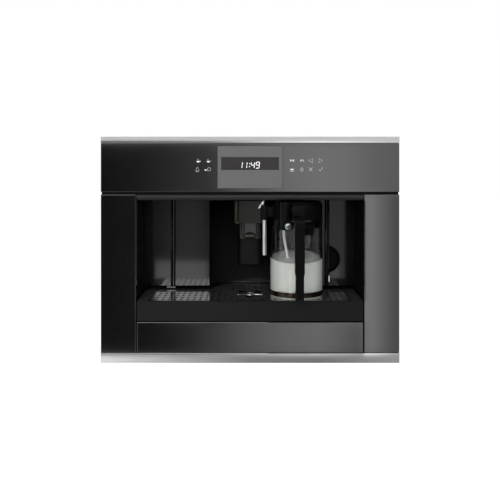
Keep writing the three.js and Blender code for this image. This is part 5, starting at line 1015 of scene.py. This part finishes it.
# its floor and wall: thin sheets in a darker black than the panel, painted shade in the hollow
scoop_wall = scoop_ring(SCOOP_R - 0.1, SCOOP_R - 0.4, PANEL_FRONT + 0.1, SCOOP_BACK - 0.2)
scoop_floor = flat_plate(scoop_arc(SCOOP_R - 0.2), [], SCOOP_BACK - 0.5, SCOOP_BACK - 0.1, plane="xz")
scoop_rim = scoop_ring(SCOOP_R + 2.2, SCOOP_R + 0.1, PANEL_FRONT - 0.5, PANEL_FRONT - 0.05, 0.2)
finished(merged_meshes([scoop_floor, scoop_wall]), "finger_scoop", SCOOP_SHADE_BLACK, "niche_wall_right", smooth=35)
finished(scoop_rim, "scoop_rim", NICHE_BLACK, "niche_wall_right", smooth=35)
softened("niche_ceiling", NICHE_BLACK, 0.3, 2)
softened("niche_lamp", LAMP_LENS, 0.6, 3)

# ------------------------------------------------------------------ service door and spout
COVE_RADIUS, COVE_Y = 90.0, 120.0
COLUMN_HALF_WIDE, COVE_END_ANGLE = 27.6, 7.0
COLUMN_FOOT = 180.6
_, _, (door_low, door_high) = span("service_door")
softened("service_door", DOOR_BLACK, 0.3, 2)


def cove_lining(name, start, end, high):
    """A matt lining a third of a millimetre thick against the door's cove."""
    outline = arc(0, COVE_Y, COVE_RADIUS - 0.15, start, end, 40)
    outline += arc(0, COVE_Y, COVE_RADIUS - 0.5, end, start, 40)
    finished(flat_plate(outline, [], door_low + 0.5, high), name, COVE_BLACK, "service_door", smooth=30)


column_angle = math.degrees(math.acos(COLUMN_HALF_WIDE / COVE_RADIUS))
cove_lining("cove_lining_left", 180 - column_angle, 180 - COVE_END_ANGLE, door_high - 0.5)
cove_lining("cove_lining_right", column_angle, COVE_END_ANGLE, door_high - 0.5)
cove_lining("cove_lining_middle", 180 - column_angle - 0.2, column_angle + 0.2, COLUMN_FOOT)
softened("door_hinge_bar", BAR_BLACK, 0.2, 2, upright=1.8)
softened("door_grip_bar", BAR_BLACK, 0.2, 2, upright=1.8)
softened("spout_column", COLUMN_BLACK, 2.5, 5)
softened("spout_cover", COVER_BLACK, 0.8, 3)
(cover_left, _), (cover_front, _), (cover_low, cover_high) = span("spout_cover")


def cover_strip(left, right, low, high, corner, front, back, edge=0.0):
    """A thin strip on the spout cover's front, placed from its left edge and its front."""
    outline = rounded_outline(cover_left + left, cover_left + right, low, high, corner)
    return flat_plate(outline, [], cover_front + front, cover_front + back, edge, "xz")


# bronze strips on the cover's left edge and at its lower left corner: the metal edge is real, its bright
# strips and the corner spot are painted highlights
lines = [
    cover_strip(0.1, 0.55, cover_low + 0.6, cover_high - 0.8, 0.2, -0.12, 0.9),
    cover_strip(2.8, 3.3, cover_low + 1.5, cover_high - 0.8, 0.2, -0.12, 0.2),
    cover_strip(3.4, 7.4, cover_low - 0.2, cover_low + 0.9, 0.4, -0.3, 0.3, 0.15),
]
finished(merged_meshes(lines), "spout_cover_lines", EDGE_HIGHLIGHT_BRONZE, "spout_cover", smooth=30)
# a chrome chip at the cover's top right, a painted highlight; its corners: places across, and down from the
# cover's top
CORNER_HIGHLIGHT = [(29.6, 0.6), (25.0, 0.6), (22.6, 5.5), (16.6, 14.2), (17.6, 16.4), (22.4, 14.0), (27.4, 9.0)]
corner_highlight_outline = [(x, cover_high - below) for x, below in CORNER_HIGHLIGHT]
corner_highlight = flat_plate(corner_highlight_outline, [], cover_front - 1.2, cover_front + 0.2, 0.7, "xz")
finished(corner_highlight, "spout_cover_accent", CHROME, "spout_cover", smooth=50)
softened("spout_nozzles", NOZZLE_BLACK, 0.4, 2)
softened("steam_nozzle", CHROME, 0.3, 2)
_, (outlet_front, _), _ = span("spout_nozzles")
# a bronze strip along the arch's edge between the outlets: painted highlight
lip_outline = rounded_outline(-10.8, 9.4, 245.6, 250.0, 1.2)
lip = flat_plate(lip_outline, [], outlet_front + 1.2, outlet_front + 2.4, 0.4, "xz")
finished(lip, "spout_arch_lip", ARCH_HIGHLIGHT_BRONZE, "spout_nozzles")

# ------------------------------------------------------------------ drip tray
softened("drip_tray", TRAY_BLACK, 0.8, 3)
(grille_left, grille_right), (grille_front, _), (grille_low, grille_high) = span("drip_grille")
# the tray's top left and right of the grille, as thin pads of a lighter grey: painted light on the top
RIM_IN, RIM_OUT = grille_right + 2.6, 225.6
for side in ("left", "right"):
    inner, outer = (-RIM_OUT, -RIM_IN) if side == "left" else (RIM_IN, RIM_OUT)
    outline = rounded_outline(inner, outer, 2.0, 125.0, 1.5)
    lit_top = flat_plate(outline, [], grille_high - 0.05, grille_high + 0.1, 0.04)
    finished(lit_top, "tray_rim_" + side, TRAY_TOP_LIT_GREY, "drip_tray")

# the grille: two wings and a round bay that reaches into the cove
CORNER, BAY_RADIUS, GRILLE_BACK = 12, 82.0, 125.0
bay_angle = math.degrees(math.asin((GRILLE_BACK - COVE_Y) / BAY_RADIUS))
wing_left, wing_right = grille_left + CORNER, grille_right - CORNER
wing_front, wing_back = grille_front + CORNER, GRILLE_BACK - CORNER
grille_edge = arc(wing_right, wing_front, CORNER, -90, 0, 10) + arc(wing_right, wing_back, CORNER, 0, 90, 10)
grille_edge += arc(0, COVE_Y, BAY_RADIUS, bay_angle, 180 - bay_angle, 60)
grille_edge += arc(wing_left, wing_back, CORNER, 90, 180, 10)
grille_edge += arc(wing_left, wing_front, CORNER, 180, 270, 10)

# its slots, and the rosette: three drain holes about the float's hole
SLOT_PITCH, SLOT_RADIUS, SLOT_HALF = 12.6, 2.3, 2.5
FIRST_ROW, ROW_PITCH = 17, 20
ROSETTE_Y, ROSETTE_RADIUS, SLOTTED_BAY = 74, 52, 65.2
DRAIN_ANGLES, DRAIN_OUT, DRAIN_WIDE, DRAIN_DEEP, FLOAT_HOLE = (-90, 56.25, 123.75), 30, 8.5, 12.5, 6.4
grille_holes = []
for row in range(10):
    for column in range(-15, 16):
        x, y = column * SLOT_PITCH, FIRST_ROW + row * ROW_PITCH
        in_wing = abs(x) < wing_right and y < wing_back
        in_bay = math.hypot(x, y - COVE_Y) < SLOTTED_BAY
        if (in_wing or in_bay) and math.hypot(x, y - ROSETTE_Y) >= ROSETTE_RADIUS:
            slot_back = arc(x, y + SLOT_HALF, SLOT_RADIUS, 0, 180, 6)
            slot_front = arc(x, y - SLOT_HALF, SLOT_RADIUS, 180, 360, 6)
            grille_holes.append(slot_back + slot_front)
for angle in DRAIN_ANGLES:
    x = DRAIN_OUT * math.cos(math.radians(angle))
    y = ROSETTE_Y + DRAIN_OUT * math.sin(math.radians(angle))
    grille_holes.append(oval(x, y, DRAIN_WIDE, DRAIN_DEEP, 32))
grille_holes.append(oval(0, ROSETTE_Y, FLOAT_HOLE, FLOAT_HOLE, 28))
# only the top 0.2 mm of the grille is steel; below it the slots' walls are near black, painted shade in the
# slots
plate = flat_plate(grille_edge, grille_holes, grille_high - 0.2, grille_high)
slot_shade = flat_plate(grille_edge, grille_holes, grille_low, grille_high - 0.22)
finished(plate, "grille_plate", GRILLE_STEEL, "drip_grille", replace=True, smooth=50)
finished(slot_shade, "grille_backing", GRILLE_SLOT_SHADE, "drip_grille", smooth=50)

FLOAT_STEM, FLOAT_RADIUS = 2.9, 6.0
_, _, (float_low, float_high) = span("tray_float")
float_profile = [(0, float_low), (FLOAT_STEM, float_low), (FLOAT_STEM, float_high - 5), (5.2, float_high - 5)]
float_profile += [(FLOAT_RADIUS, float_high - 4.3), (FLOAT_RADIUS, float_high - 1.4), (5.2, float_high - 0.4)]
float_profile += [(3.6, float_high), (0, float_high)]
float_cap = turned(float_profile, 0, ROSETTE_Y, 48)
finished(float_cap, "float_cap", FLOAT_GREY, "tray_float", replace=True, smooth=35)


def grille_arm(angle, start, end, half):
    """A raised rib of the grille's rosette, from one radius to another about its centre."""
    cos, sin = math.cos(math.radians(angle)), math.sin(math.radians(angle))
    outline = [(start, -half), (end, -half * 0.6), (end + 1.2, 0), (end, half * 0.6), (start, half)]
    corners = [(u * cos - v * sin, ROSETTE_Y + u * sin + v * cos) for u, v in outline]
    return flat_plate(corners, [], grille_high - 0.1, grille_high + 0.4, 0.2)


web = [grille_arm(angle, 9.5, end, 2.6) for angle, end in ((90, 28), (-16.9, 26), (196.9, 26))]
ring_out, ring_in = arc(0, ROSETTE_Y, 11.0, 0, 354, 60), arc(0, ROSETTE_Y, 7.0, 0, 352, 46)
web.append(flat_plate(ring_out, [ring_in], grille_high - 0.1, grille_high + 0.9, 0.4))
finished(merged_meshes(web), "rosette_web", GRILLE_STEEL, "drip_grille", smooth=50)

# ------------------------------------------------------------------ milk jug
JUG_X, JUG_Y, R_OUT, R_IN = 96.2, 56.0, 54.0, 51.0
_, _, (glass_low, glass_high) = span("jug_glass")
jug_foot = [(0, 0.5), (45, 0.5), (47.5, 0), (52.4, 0), (53.4, 0.4), (53.85, 1.0), (R_OUT, 1.8)]
jug_rim = [(R_OUT, -1.4), (53.6, -0.4), (52.5, 0), (51.4, -0.4), (R_IN, -1.4)]
jug_floor = [(R_IN, 2.6), (50.7, 1.7), (50.0, 1.3), (49, 1.2), (0, 1.2)]


def moved(profile, start):
    """A profile whose distances along its axis count from start."""
    return [(radius, start + distance) for radius, distance in profile]


jug_profile = moved(jug_foot, glass_low) + moved(jug_rim, glass_high) + moved(jug_floor, glass_low)
jug = turned(jug_profile, JUG_X, JUG_Y, 128)
finished(jug, "glass_jug", JUG_GLASS, "jug_glass", replace=True)

MILK_FRONT, MILK_BACK = 197.0, 211.5  # the froth lies higher against the back of the jug
MILK_RADIUS = R_IN + 0.3  # the milk reaches a little into the glass, so that no gap shows


def milk_height(y):
    return MILK_FRONT + (MILK_BACK - MILK_FRONT) * (y - JUG_Y + R_IN) / (2 * R_IN)


milk_foot = [(0, 0.9), (49.2, 0.9), (50.4, 1.1), (51.1, 1.6), (MILK_RADIUS, 2.6)]
milk_top = [(MILK_RADIUS, -1), (MILK_RADIUS, 0.9), (50.4, 0.3), (48.6, 0), (30, -0.2), (0, -0.3)]
milk = turned(moved(milk_foot, glass_low) + moved(milk_top, MILK_FRONT), JUG_X, JUG_Y, 128)
for vertex in milk.vertices:
    _, y, z = in_millimetres(vertex.co)
    if z > MILK_FRONT - 0.5:
        vertex.co.z += (milk_height(y) - MILK_FRONT) / 1000
finished(milk, "milk_fill", MILK, "jug_glass", smooth=50)

BAND_LOW, BAND_HIGH, BAND_IN, BAND_OUT = 129.3, 139.3, 54.3, 55.7
band = moved([(BAND_IN, 0.3), (54.6, 0), (55.4, 0), (BAND_OUT, 0.4)], BAND_LOW)
band += moved([(BAND_OUT, -0.4), (55.4, 0), (54.6, 0), (BAND_IN, -0.3)], BAND_HIGH)
finished(turned(band, JUG_X, JUG_Y, 128), "steel_band", BAND_STEEL, "jug_band", replace=True)
HANDLE_INSIDE, BRACKET_TOP, BRACKET_MIDDLE, BAND_SHIFT = -26.0, 155.0, 140.0, 8.3


def lowered_bracket(x, y, z):
    """The handle's lower bracket follows the band, which sits a little lower than in the solid."""
    reach = min(max((y - HANDLE_INSIDE) / -HANDLE_INSIDE, 0.0), 1.0)
    if z > BRACKET_TOP or reach <= 0:
        return x, y, z
    return x, y, z - BAND_SHIFT * (min(reach * 3, 1.0) if z > BRACKET_MIDDLE else reach**2)


softened("jug_handle", HANDLE_BLACK, 1.2, 4, adjust=lowered_bracket)
softened("jug_lid", LID_BLACK, 0.7, 3)

OUTLET_X, OUTLET_Y, BORE, OUTLET_RADIUS = 29.5, 36, 2.8, 4.5
_, _, (tube_low, tube_high) = span("milk_outlet_tube")
tube = moved([(BORE, 0.3), (3.3, 0), (4.0, 0), (OUTLET_RADIUS, 0.7)], tube_low)
tube += moved([(OUTLET_RADIUS, -0.6), (3.9, 0), (BORE, 0)], tube_high)
outlet = turned(tube, OUTLET_X, OUTLET_Y, 56)
finished(outlet, "milk_outlet", TUBE_STEEL, "milk_outlet_tube", replace=True)

BUTTON_X, BUTTON_Z, BUTTON_BACK = 75.4, 274, -8.0
button = [(0, -13.0), (2.6, -12.95), (4.8, -12.6), (6.3, -11.9), (7.0, -11.0), (7.2, -10.2)]
button += [(7.2, BUTTON_BACK), (0, BUTTON_BACK)]
cap = turned_forward(button, BUTTON_X, BUTTON_Z)
finished(cap, "push_button", BUTTON_CHROME, "clean_button", replace=True)

# the intake tube, and the low mound of milk about it
_, _, (intake_low, intake_high) = span("milk_intake_tube")
stream_foot = milk_height(JUG_Y - 10)
intake_route = [(71.5, JUG_Y, intake_high), (70.8, JUG_Y, 285), (70.2, JUG_Y - 1, 250)]
intake_route += [(76.8, JUG_Y - 9, stream_foot + 4), (78, JUG_Y - 10, intake_low + 2)]
intake = swept(intake_route, 2.6, 24, 24)
finished(intake, "milk_intake", TUBE_CLEAR, "milk_intake_tube", replace=True)
mound = moved([(0, -1), (10, -1), (7, 0.1), (5, 1.3), (3.4, 3.6), (0, 3.8)], stream_foot)
finished(turned(mound, 77.2, JUG_Y - 9.6, 40), "milk_rise", MILK, "jug_glass", smooth=60)

# the frothing dial: a turned core with a knurled edge and a raised grip across its face
DIAL_X, DIAL_Z, DIAL_FRONT, DIAL_RADIUS, RIBS = 91.0, 305.8, -34.0, 10.0, 36
dial = moved([(0, 0), (8.2, 0), (9.4, 0.5), (DIAL_RADIUS, 1.4), (DIAL_RADIUS, 12), (0, 12)], DIAL_FRONT)
dial_core = turned_forward(dial, DIAL_X, DIAL_Z, 72)
rib = rounded_bar(9.6, 0.9, 0.55, 0.2)
ribs_centre = at(DIAL_X, DIAL_FRONT + 1.6, DIAL_Z)
ribs_tilt = in_radians((-90, 0, 0))
ribs_ring = dict(Count=RIBS, Radius=DIAL_RADIUS / 1000, Centre=tuple(ribs_centre), Tilt=ribs_tilt)
dial_ribs = grown(RING, HANDLE_BLACK, rib, **ribs_ring)
bpy.data.objects.remove(rib)
grip_outline = rounded_outline(DIAL_X - 1.5, DIAL_X + 1.5, DIAL_Z - 9.4, DIAL_Z + 9.4, 1.4)
dial_grip = flat_plate(grip_outline, [], DIAL_FRONT - 2, DIAL_FRONT + 0.6, 0.4, "xz")
dial_mesh = merged_meshes([dial_core, dial_ribs, dial_grip])
finished(dial_mesh, "frothing_dial", HANDLE_BLACK, "froth_dial", replace=True, smooth=30)

# ------------------------------------------------------------------ tanks, lids, casing and rails
for node, finish in {
    "water_tank": TANK_CLEAR,
    "water_tank_lid": LID_GREY,
    "bean_lid": LID_GREY,
    "grounds_bin": DARK_PLASTIC,
    "inner_frame": GREY_PLASTIC,
    "brew_unit": GREY_PLASTIC,
    "grinder": GREY_PLASTIC,
    "mains_inlet": DARK_PLASTIC,
    "power_switch": DARK_PLASTIC,
    "bean_hopper": HOPPER_CLEAR,
}.items():
    softened(node, finish, 0.5, 2)
softened("control_board", BOARD_GREEN, 0.15, 1)
for node in SIDE_NODES + SHEET_NODES:
    softened(node, ZINC, 0.25 if node.startswith(RAILS) else 0.3, 2)

# screws of the casing's sheets: two rows of three on each side, three rows of two on the top
SCREW_FIRST_Y, SCREW_STEP, SCREW_FIRST_Z, SCREW_RISE, TOP_SCREW_X = 40.0, 150, 70.0, 345, 262.0
screw = screw_head(3.2, 1.5)


def screw_rows(name, node, start, columns, column_step, rows, row_step, turn=(0, 0, 0)):
    steps = dict(Column_step=in_metres(column_step), Row_step=in_metres(row_step), Turn=in_radians(turn))
    heads = grown(ROWS, SCREW_STEEL, screw, Start=tuple(start), Columns=columns, Rows=rows, **steps)
    finished(heads, name, SCREW_STEEL, node, smooth=30)


backward, upward = (0, SCREW_STEP, 0), (0, 0, SCREW_RISE)
for side in ("right", "left"):
    node = "side_panel_" + side
    low, high = span(node)[0]
    face, lean = (high, 90) if low > 0 else (low, -90)
    start = at(face, SCREW_FIRST_Y, SCREW_FIRST_Z)
    screw_rows("side_screws_" + side, node, start, 3, backward, 2, upward, (0, lean, 0))
start = at(-TOP_SCREW_X, SCREW_FIRST_Y, span("top_cover")[2][1])
screw_rows("top_screws", "top_cover", start, 2, (2 * TOP_SCREW_X, 0, 0), 3, backward)
bpy.data.objects.remove(screw)


# ------------------------------------------------------------------ floor, light and surroundings, in metres
WHITE = (1, 1, 1, 1)
FLOOR_WHITE = 0.78
FLOOR_GREY = (0.8, 0.8, 0.8, 1)
ROOM_BACK = 4.0
PEAK = 1.5  # the brightest place of the room
EVEN_ROOM = 1.0  # the room as a liquid behind glass sees it
GLASS_DIMMING = 0.85  # the share of the room that glass keeps out
AMBIENT = 0.3

# the room's brightness across, as (place, brightness), at four heights
ROOM_UPPER = [(-1.6, 0.02), (-1.25, 0.045), (-0.95, 0.08), (-0.67, 0.16), (-0.38, 0.26), (-0.21, 0.44)]
ROOM_UPPER += [(0.0, 0.74), (0.33, 1.24), (0.59, 1.38), (0.82, 1.3), (1.0, 1.05), (1.22, 0.88), (1.6, 0.7)]
ROOM_MIDDLE = [(-1.6, 0.02), (-1.25, 0.045), (-0.95, 0.06), (-0.8, 0.14), (-0.7, 0.3), (-0.6, 0.42)]
ROOM_MIDDLE += [(-0.43, 0.48), (-0.36, 0.06), (-0.24, 0.06), (-0.15, 0.55), (0.0, 0.7), (0.33, 1.1)]
ROOM_MIDDLE += [(0.59, 1.2), (0.94, 1.5), (1.02, 1.48), (1.104, 1.05), (1.2, 0.62), (1.6, 0.3)]
ROOM_LOWER = [(-1.0, 0.03), (-0.878, 0.04), (-0.67, 0.09), (-0.502, 0.17), (-0.25, 0.4), (0.0, 0.72)]
ROOM_LOWER += [(0.3, 1.02), (0.586, 1.18), (0.75, 0.95), (0.878, 0.7), (1.0, 0.5)]
ROOM_GROUND = [(-2.0, 1.25), (-1.25, 1.2), (-0.6, 0.7), (0.0, 0.31), (0.6, 0.25), (1.25, 0.46), (2.0, 0.5)]
ROOM_TOP = 0.85

# the heights over which one of them goes over into the next, and the lower part's ends
TOP_SEAM, UPPER_SEAM = (0.585, 0.597), (0.16, 0.182)
LOWER_SEAM, GROUND_SEAM = (-0.905, -0.89), (-1.185, -1.168)
LOWER_ENDS = (0.947, 0.953)


def plain_shader(name, build):
    """A stage material: build(tree) returns the shader for its output."""
    material = bpy.data.materials.new(name)
    material.use_nodes = True
    tree = material.node_tree
    tree.nodes.clear()
    add_node(tree, "ShaderNodeOutputMaterial", (800, 0), {"Surface": build(tree)})
    return material


def added(tree, first, second):
    """Two shaders as one."""
    sources = {0: first.outputs[0], 1: second.outputs[0]}
    return add_node(tree, "ShaderNodeAddShader", (500, 0), sources).outputs[0]


def seen(tree):
    """1 for the rays of the camera, of mirrors, and of glass that no mirror shows; 0 for those that light."""
    path = add_node(tree, "ShaderNodeLightPath", (-900, 300)).outputs
    clear = math_node(tree, "LESS_THAN", path["Glossy Depth"], 0.5, (-700, 100))
    through = math_node(tree, "MULTIPLY", path["Is Transmission Ray"], clear, (-550, 150))
    direct = math_node(tree, "MAXIMUM", path["Is Camera Ray"], through, (-400, 300))
    return math_node(tree, "MAXIMUM", direct, path["Is Glossy Ray"], (-250, 300))


def lit(tree, strength, colour=WHITE):
    """Light as mirrors see it; a liquid behind glass sees an even room, and the glass's inside stays dark."""
    path = add_node(tree, "ShaderNodeLightPath", (-700, 500)).outputs
    through = path["Is Transmission Ray"]
    scattered = math_node(tree, "GREATER_THAN", path["Diffuse Depth"], 0.5, (-500, 500))
    even = math_node(tree, "MULTIPLY", scattered, through, (-300, 500))
    even = math_node(tree, "MULTIPLY", even, EVEN_ROOM, (-150, 500))
    dimming = math_node(tree, "MULTIPLY", through, GLASS_DIMMING, (-300, 350))
    direct = math_node(tree, "SUBTRACT", 1.0, dimming, (-150, 350))
    direct = math_node(tree, "MULTIPLY", direct, strength, (0, 350))
    glow = add_node(tree, "ShaderNodeEmission", (300, 0), {"Color": colour, "Strength": direct})
    fill = add_node(tree, "ShaderNodeEmission", (300, 200), {"Color": WHITE, "Strength": even})
    return added(tree, glow, fill)


def floor_shader(tree):
    """Ground that the camera sees as white, with the object's own shadow left in it."""
    strength = math_node(tree, "MULTIPLY", seen(tree), FLOOR_WHITE, (-50, 300))
    white = add_node(tree, "ShaderNodeEmission", (0, 150), {"Color": WHITE, "Strength": strength})
    ground = add_node(tree, "ShaderNodeBsdfDiffuse", (0, -100), {"Color": FLOOR_GREY})
    return added(tree, white, ground)


def share_of_peak(brightness):
    return (brightness / PEAK,) * 3 + (1,)


def brightness_along(tree, coordinate, stops, at_xy):
    """A grey that follows the (place, brightness) stops along one coordinate."""
    x, y = at_xy
    low, high = stops[0][0], stops[-1][0]
    share = remap(tree, coordinate, 0.0, 1.0, low, high, (x - 200, y))
    ramp = add_node(tree, "ShaderNodeValToRGB", at_xy, {"Fac": share})
    elements = ramp.color_ramp.elements
    elements.remove(elements[-1])
    for i, (place, brightness) in enumerate(stops):
        spot = (place - low) / (high - low)
        element = elements[0] if i == 0 else elements.new(spot)
        element.position = spot
        element.color = share_of_peak(brightness)
    return ramp.outputs["Color"]


def room_shader(tree):
    """The room that the black glass mirrors: dim at the left, bright right of the middle, even at the top."""
    place = add_node(tree, "ShaderNodeTexCoord", (-1300, 0)).outputs["Object"]
    split = add_node(tree, "ShaderNodeSeparateXYZ", (-1100, 0), {0: place}).outputs
    x, z = split["X"], split["Z"]
    heights = (ROOM_UPPER, ROOM_MIDDLE, ROOM_LOWER, ROOM_GROUND)
    upper, middle, lower, ground = (
        brightness_along(tree, x, stops, (-500, 300 - 300 * i)) for i, stops in enumerate(heights)
    )
    above = remap(tree, z, 0.0, 1.0, *TOP_SEAM, (-500, -900))
    high = remap(tree, z, 0.0, 1.0, *UPPER_SEAM, (-500, -1100))
    low = remap(tree, z, 1.0, 0.0, *LOWER_SEAM, (-500, -1300))
    below = remap(tree, z, 1.0, 0.0, *GROUND_SEAM, (-500, -1700))
    aside = math_node(tree, "ABSOLUTE", x, 0.0, (-700, -1500))
    inner = remap(tree, aside, 1.0, 0.0, *LOWER_ENDS, (-500, -1500))
    low = math_node(tree, "MULTIPLY", low, inner, (-300, -1300))
    shade = mixed(tree, high, middle, upper, (-300, 100))
    shade = mixed(tree, low, shade, lower, (-200, 100))
    shade = mixed(tree, below, shade, ground, (-100, 100))
    shade = mixed(tree, above, shade, share_of_peak(ROOM_TOP), (100, 100))
    return lit(tree, PEAK, shade)


def even_shader(strength):
    """The shader builder of a sheet that is equally bright all over."""
    return lambda tree: lit(tree, strength)


def sheet(name, corners, build):
    """A flat sheet that only mirrors and glass see; its corners' depths count from the front's plane."""
    mesh = bpy.data.meshes.new(name)
    mesh.from_pydata([(x, y + FRONT_Y, z) for x, y, z in corners], [], [(0, 1, 2, 3)])
    mesh.materials.append(plain_shader(name, build))
    card = loose_object(name, mesh)
    card.visible_camera = card.visible_diffuse = card.visible_shadow = False
    return card


def upright(name, left, right, low, high, y, build):
    return sheet(name, [(left, y, low), (right, y, low), (right, y, high), (left, y, high)], build)


floor_mesh = bpy.data.meshes.new("floor")
floor_mesh.from_pydata([(-9, -9, 0), (9, -9, 0), (9, 9, 0), (-9, 9, 0)], [], [(0, 1, 2, 3)])
floor_mesh.materials.append(plain_shader("floor", floor_shader))
floor = loose_object("floor", floor_mesh)
floor.location = (0, 0, -0.0005)
floor.visible_glossy = False

room = upright("room in front", -9, 9, -8, 0.8, -ROOM_BACK, room_shader)
roof = sheet("dark roof", [(-9, -6, 3.6), (9, -6, 3.6), (9, 3, 3.6), (-9, 3, 3.6)], even_shader(0.12))
side_corners = [(1.6, -0.9, -0.5), (1.6, 0.05, -0.5), (1.6, 0.05, 2.0), (1.6, -0.9, 2.0)]
side = sheet("dark side", side_corners, even_shader(0.03))
glow = upright("low glow", -0.306, -0.134, 0.0, 0.09, -0.5, even_shader(1.75))

# dark flags in front of the right half of the niche; their edges follow the lines of sight that the glass
# panels mirror, so that the panels never show them
NEAR, NEAR_TOP, FAR = -0.06, -0.13, -0.3
LEFT, MIDDLE, RIGHT, LOW, HIGH = 0.036, 0.16, 0.2295, 0.1245, 0.324


def flag(name, edges, strength):
    """A sheet whose corners lie where the lines of sight mirrored at x, z of the front pass the depth y."""
    corners = []
    for x, z, y in edges:
        spread = 1 - y / CAMERA_BACK
        corners.append((x * spread, y, CAMERA_UP + (z - CAMERA_UP) * spread))
    return sheet(name, corners, even_shader(strength))


def far_flag(name, left, right, strength):
    return flag(name, [(left, LOW, FAR), (right, LOW, FAR), (right, HIGH, FAR), (left, HIGH, FAR)], strength)


right_edges = [(RIGHT, LOW, NEAR), (RIGHT, LOW, FAR), (RIGHT, HIGH, FAR), (RIGHT, HIGH, NEAR)]
top_edges = [(LEFT, HIGH, NEAR_TOP), (LEFT, HIGH, FAR), (RIGHT, HIGH, FAR), (RIGHT, HIGH, NEAR_TOP)]
flags = [
    flag("right flag", right_edges, 0.03),
    flag("top flag", top_edges, 0.03),
    far_flag("front flag", LEFT, MIDDLE, 0.08),
    far_flag("grey flag", MIDDLE, RIGHT, 0.62),
    upright("right glow", 0.229, 0.256, 0.0605, 0.115, FAR + 0.002, even_shader(1.5)),
]

world = bpy.data.worlds.new("World")
bpy.context.scene.world = world
world.use_nodes = True
sky = world.node_tree
sky.nodes.clear()
white = add_node(sky, "ShaderNodeBackground", (0, 200), {"Color": WHITE, "Strength": 1.0}).outputs[0]
ambient = add_node(sky, "ShaderNodeBackground", (0, 0), {"Color": WHITE, "Strength": AMBIENT}).outputs[0]
choice = add_node(sky, "ShaderNodeMixShader", (400, 0), {0: seen(sky), 1: ambient, 2: white}).outputs[0]
add_node(sky, "ShaderNodeOutputWorld", (800, 0), {"Surface": choice})

KEY_PLACE, KEY_AIM = Vector((-0.7, FRONT_Y - 3.95, 1.85)), Vector((-0.7, FRONT_Y, 1.85))
key_light = bpy.data.lights.new("key", "AREA")
key_light.shape = "RECTANGLE"
key_light.size, key_light.size_y = 4.2, 2.1
key_light.energy = 120.0
key = loose_object("key", key_light)
key.location = KEY_PLACE
key.rotation_euler = (KEY_AIM - KEY_PLACE).to_track_quat("-Z", "Y").to_euler()

bpy.context.scene.view_settings.view_transform = "Standard"
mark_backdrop(floor, room, glow, roof, side, *flags)

low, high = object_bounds()
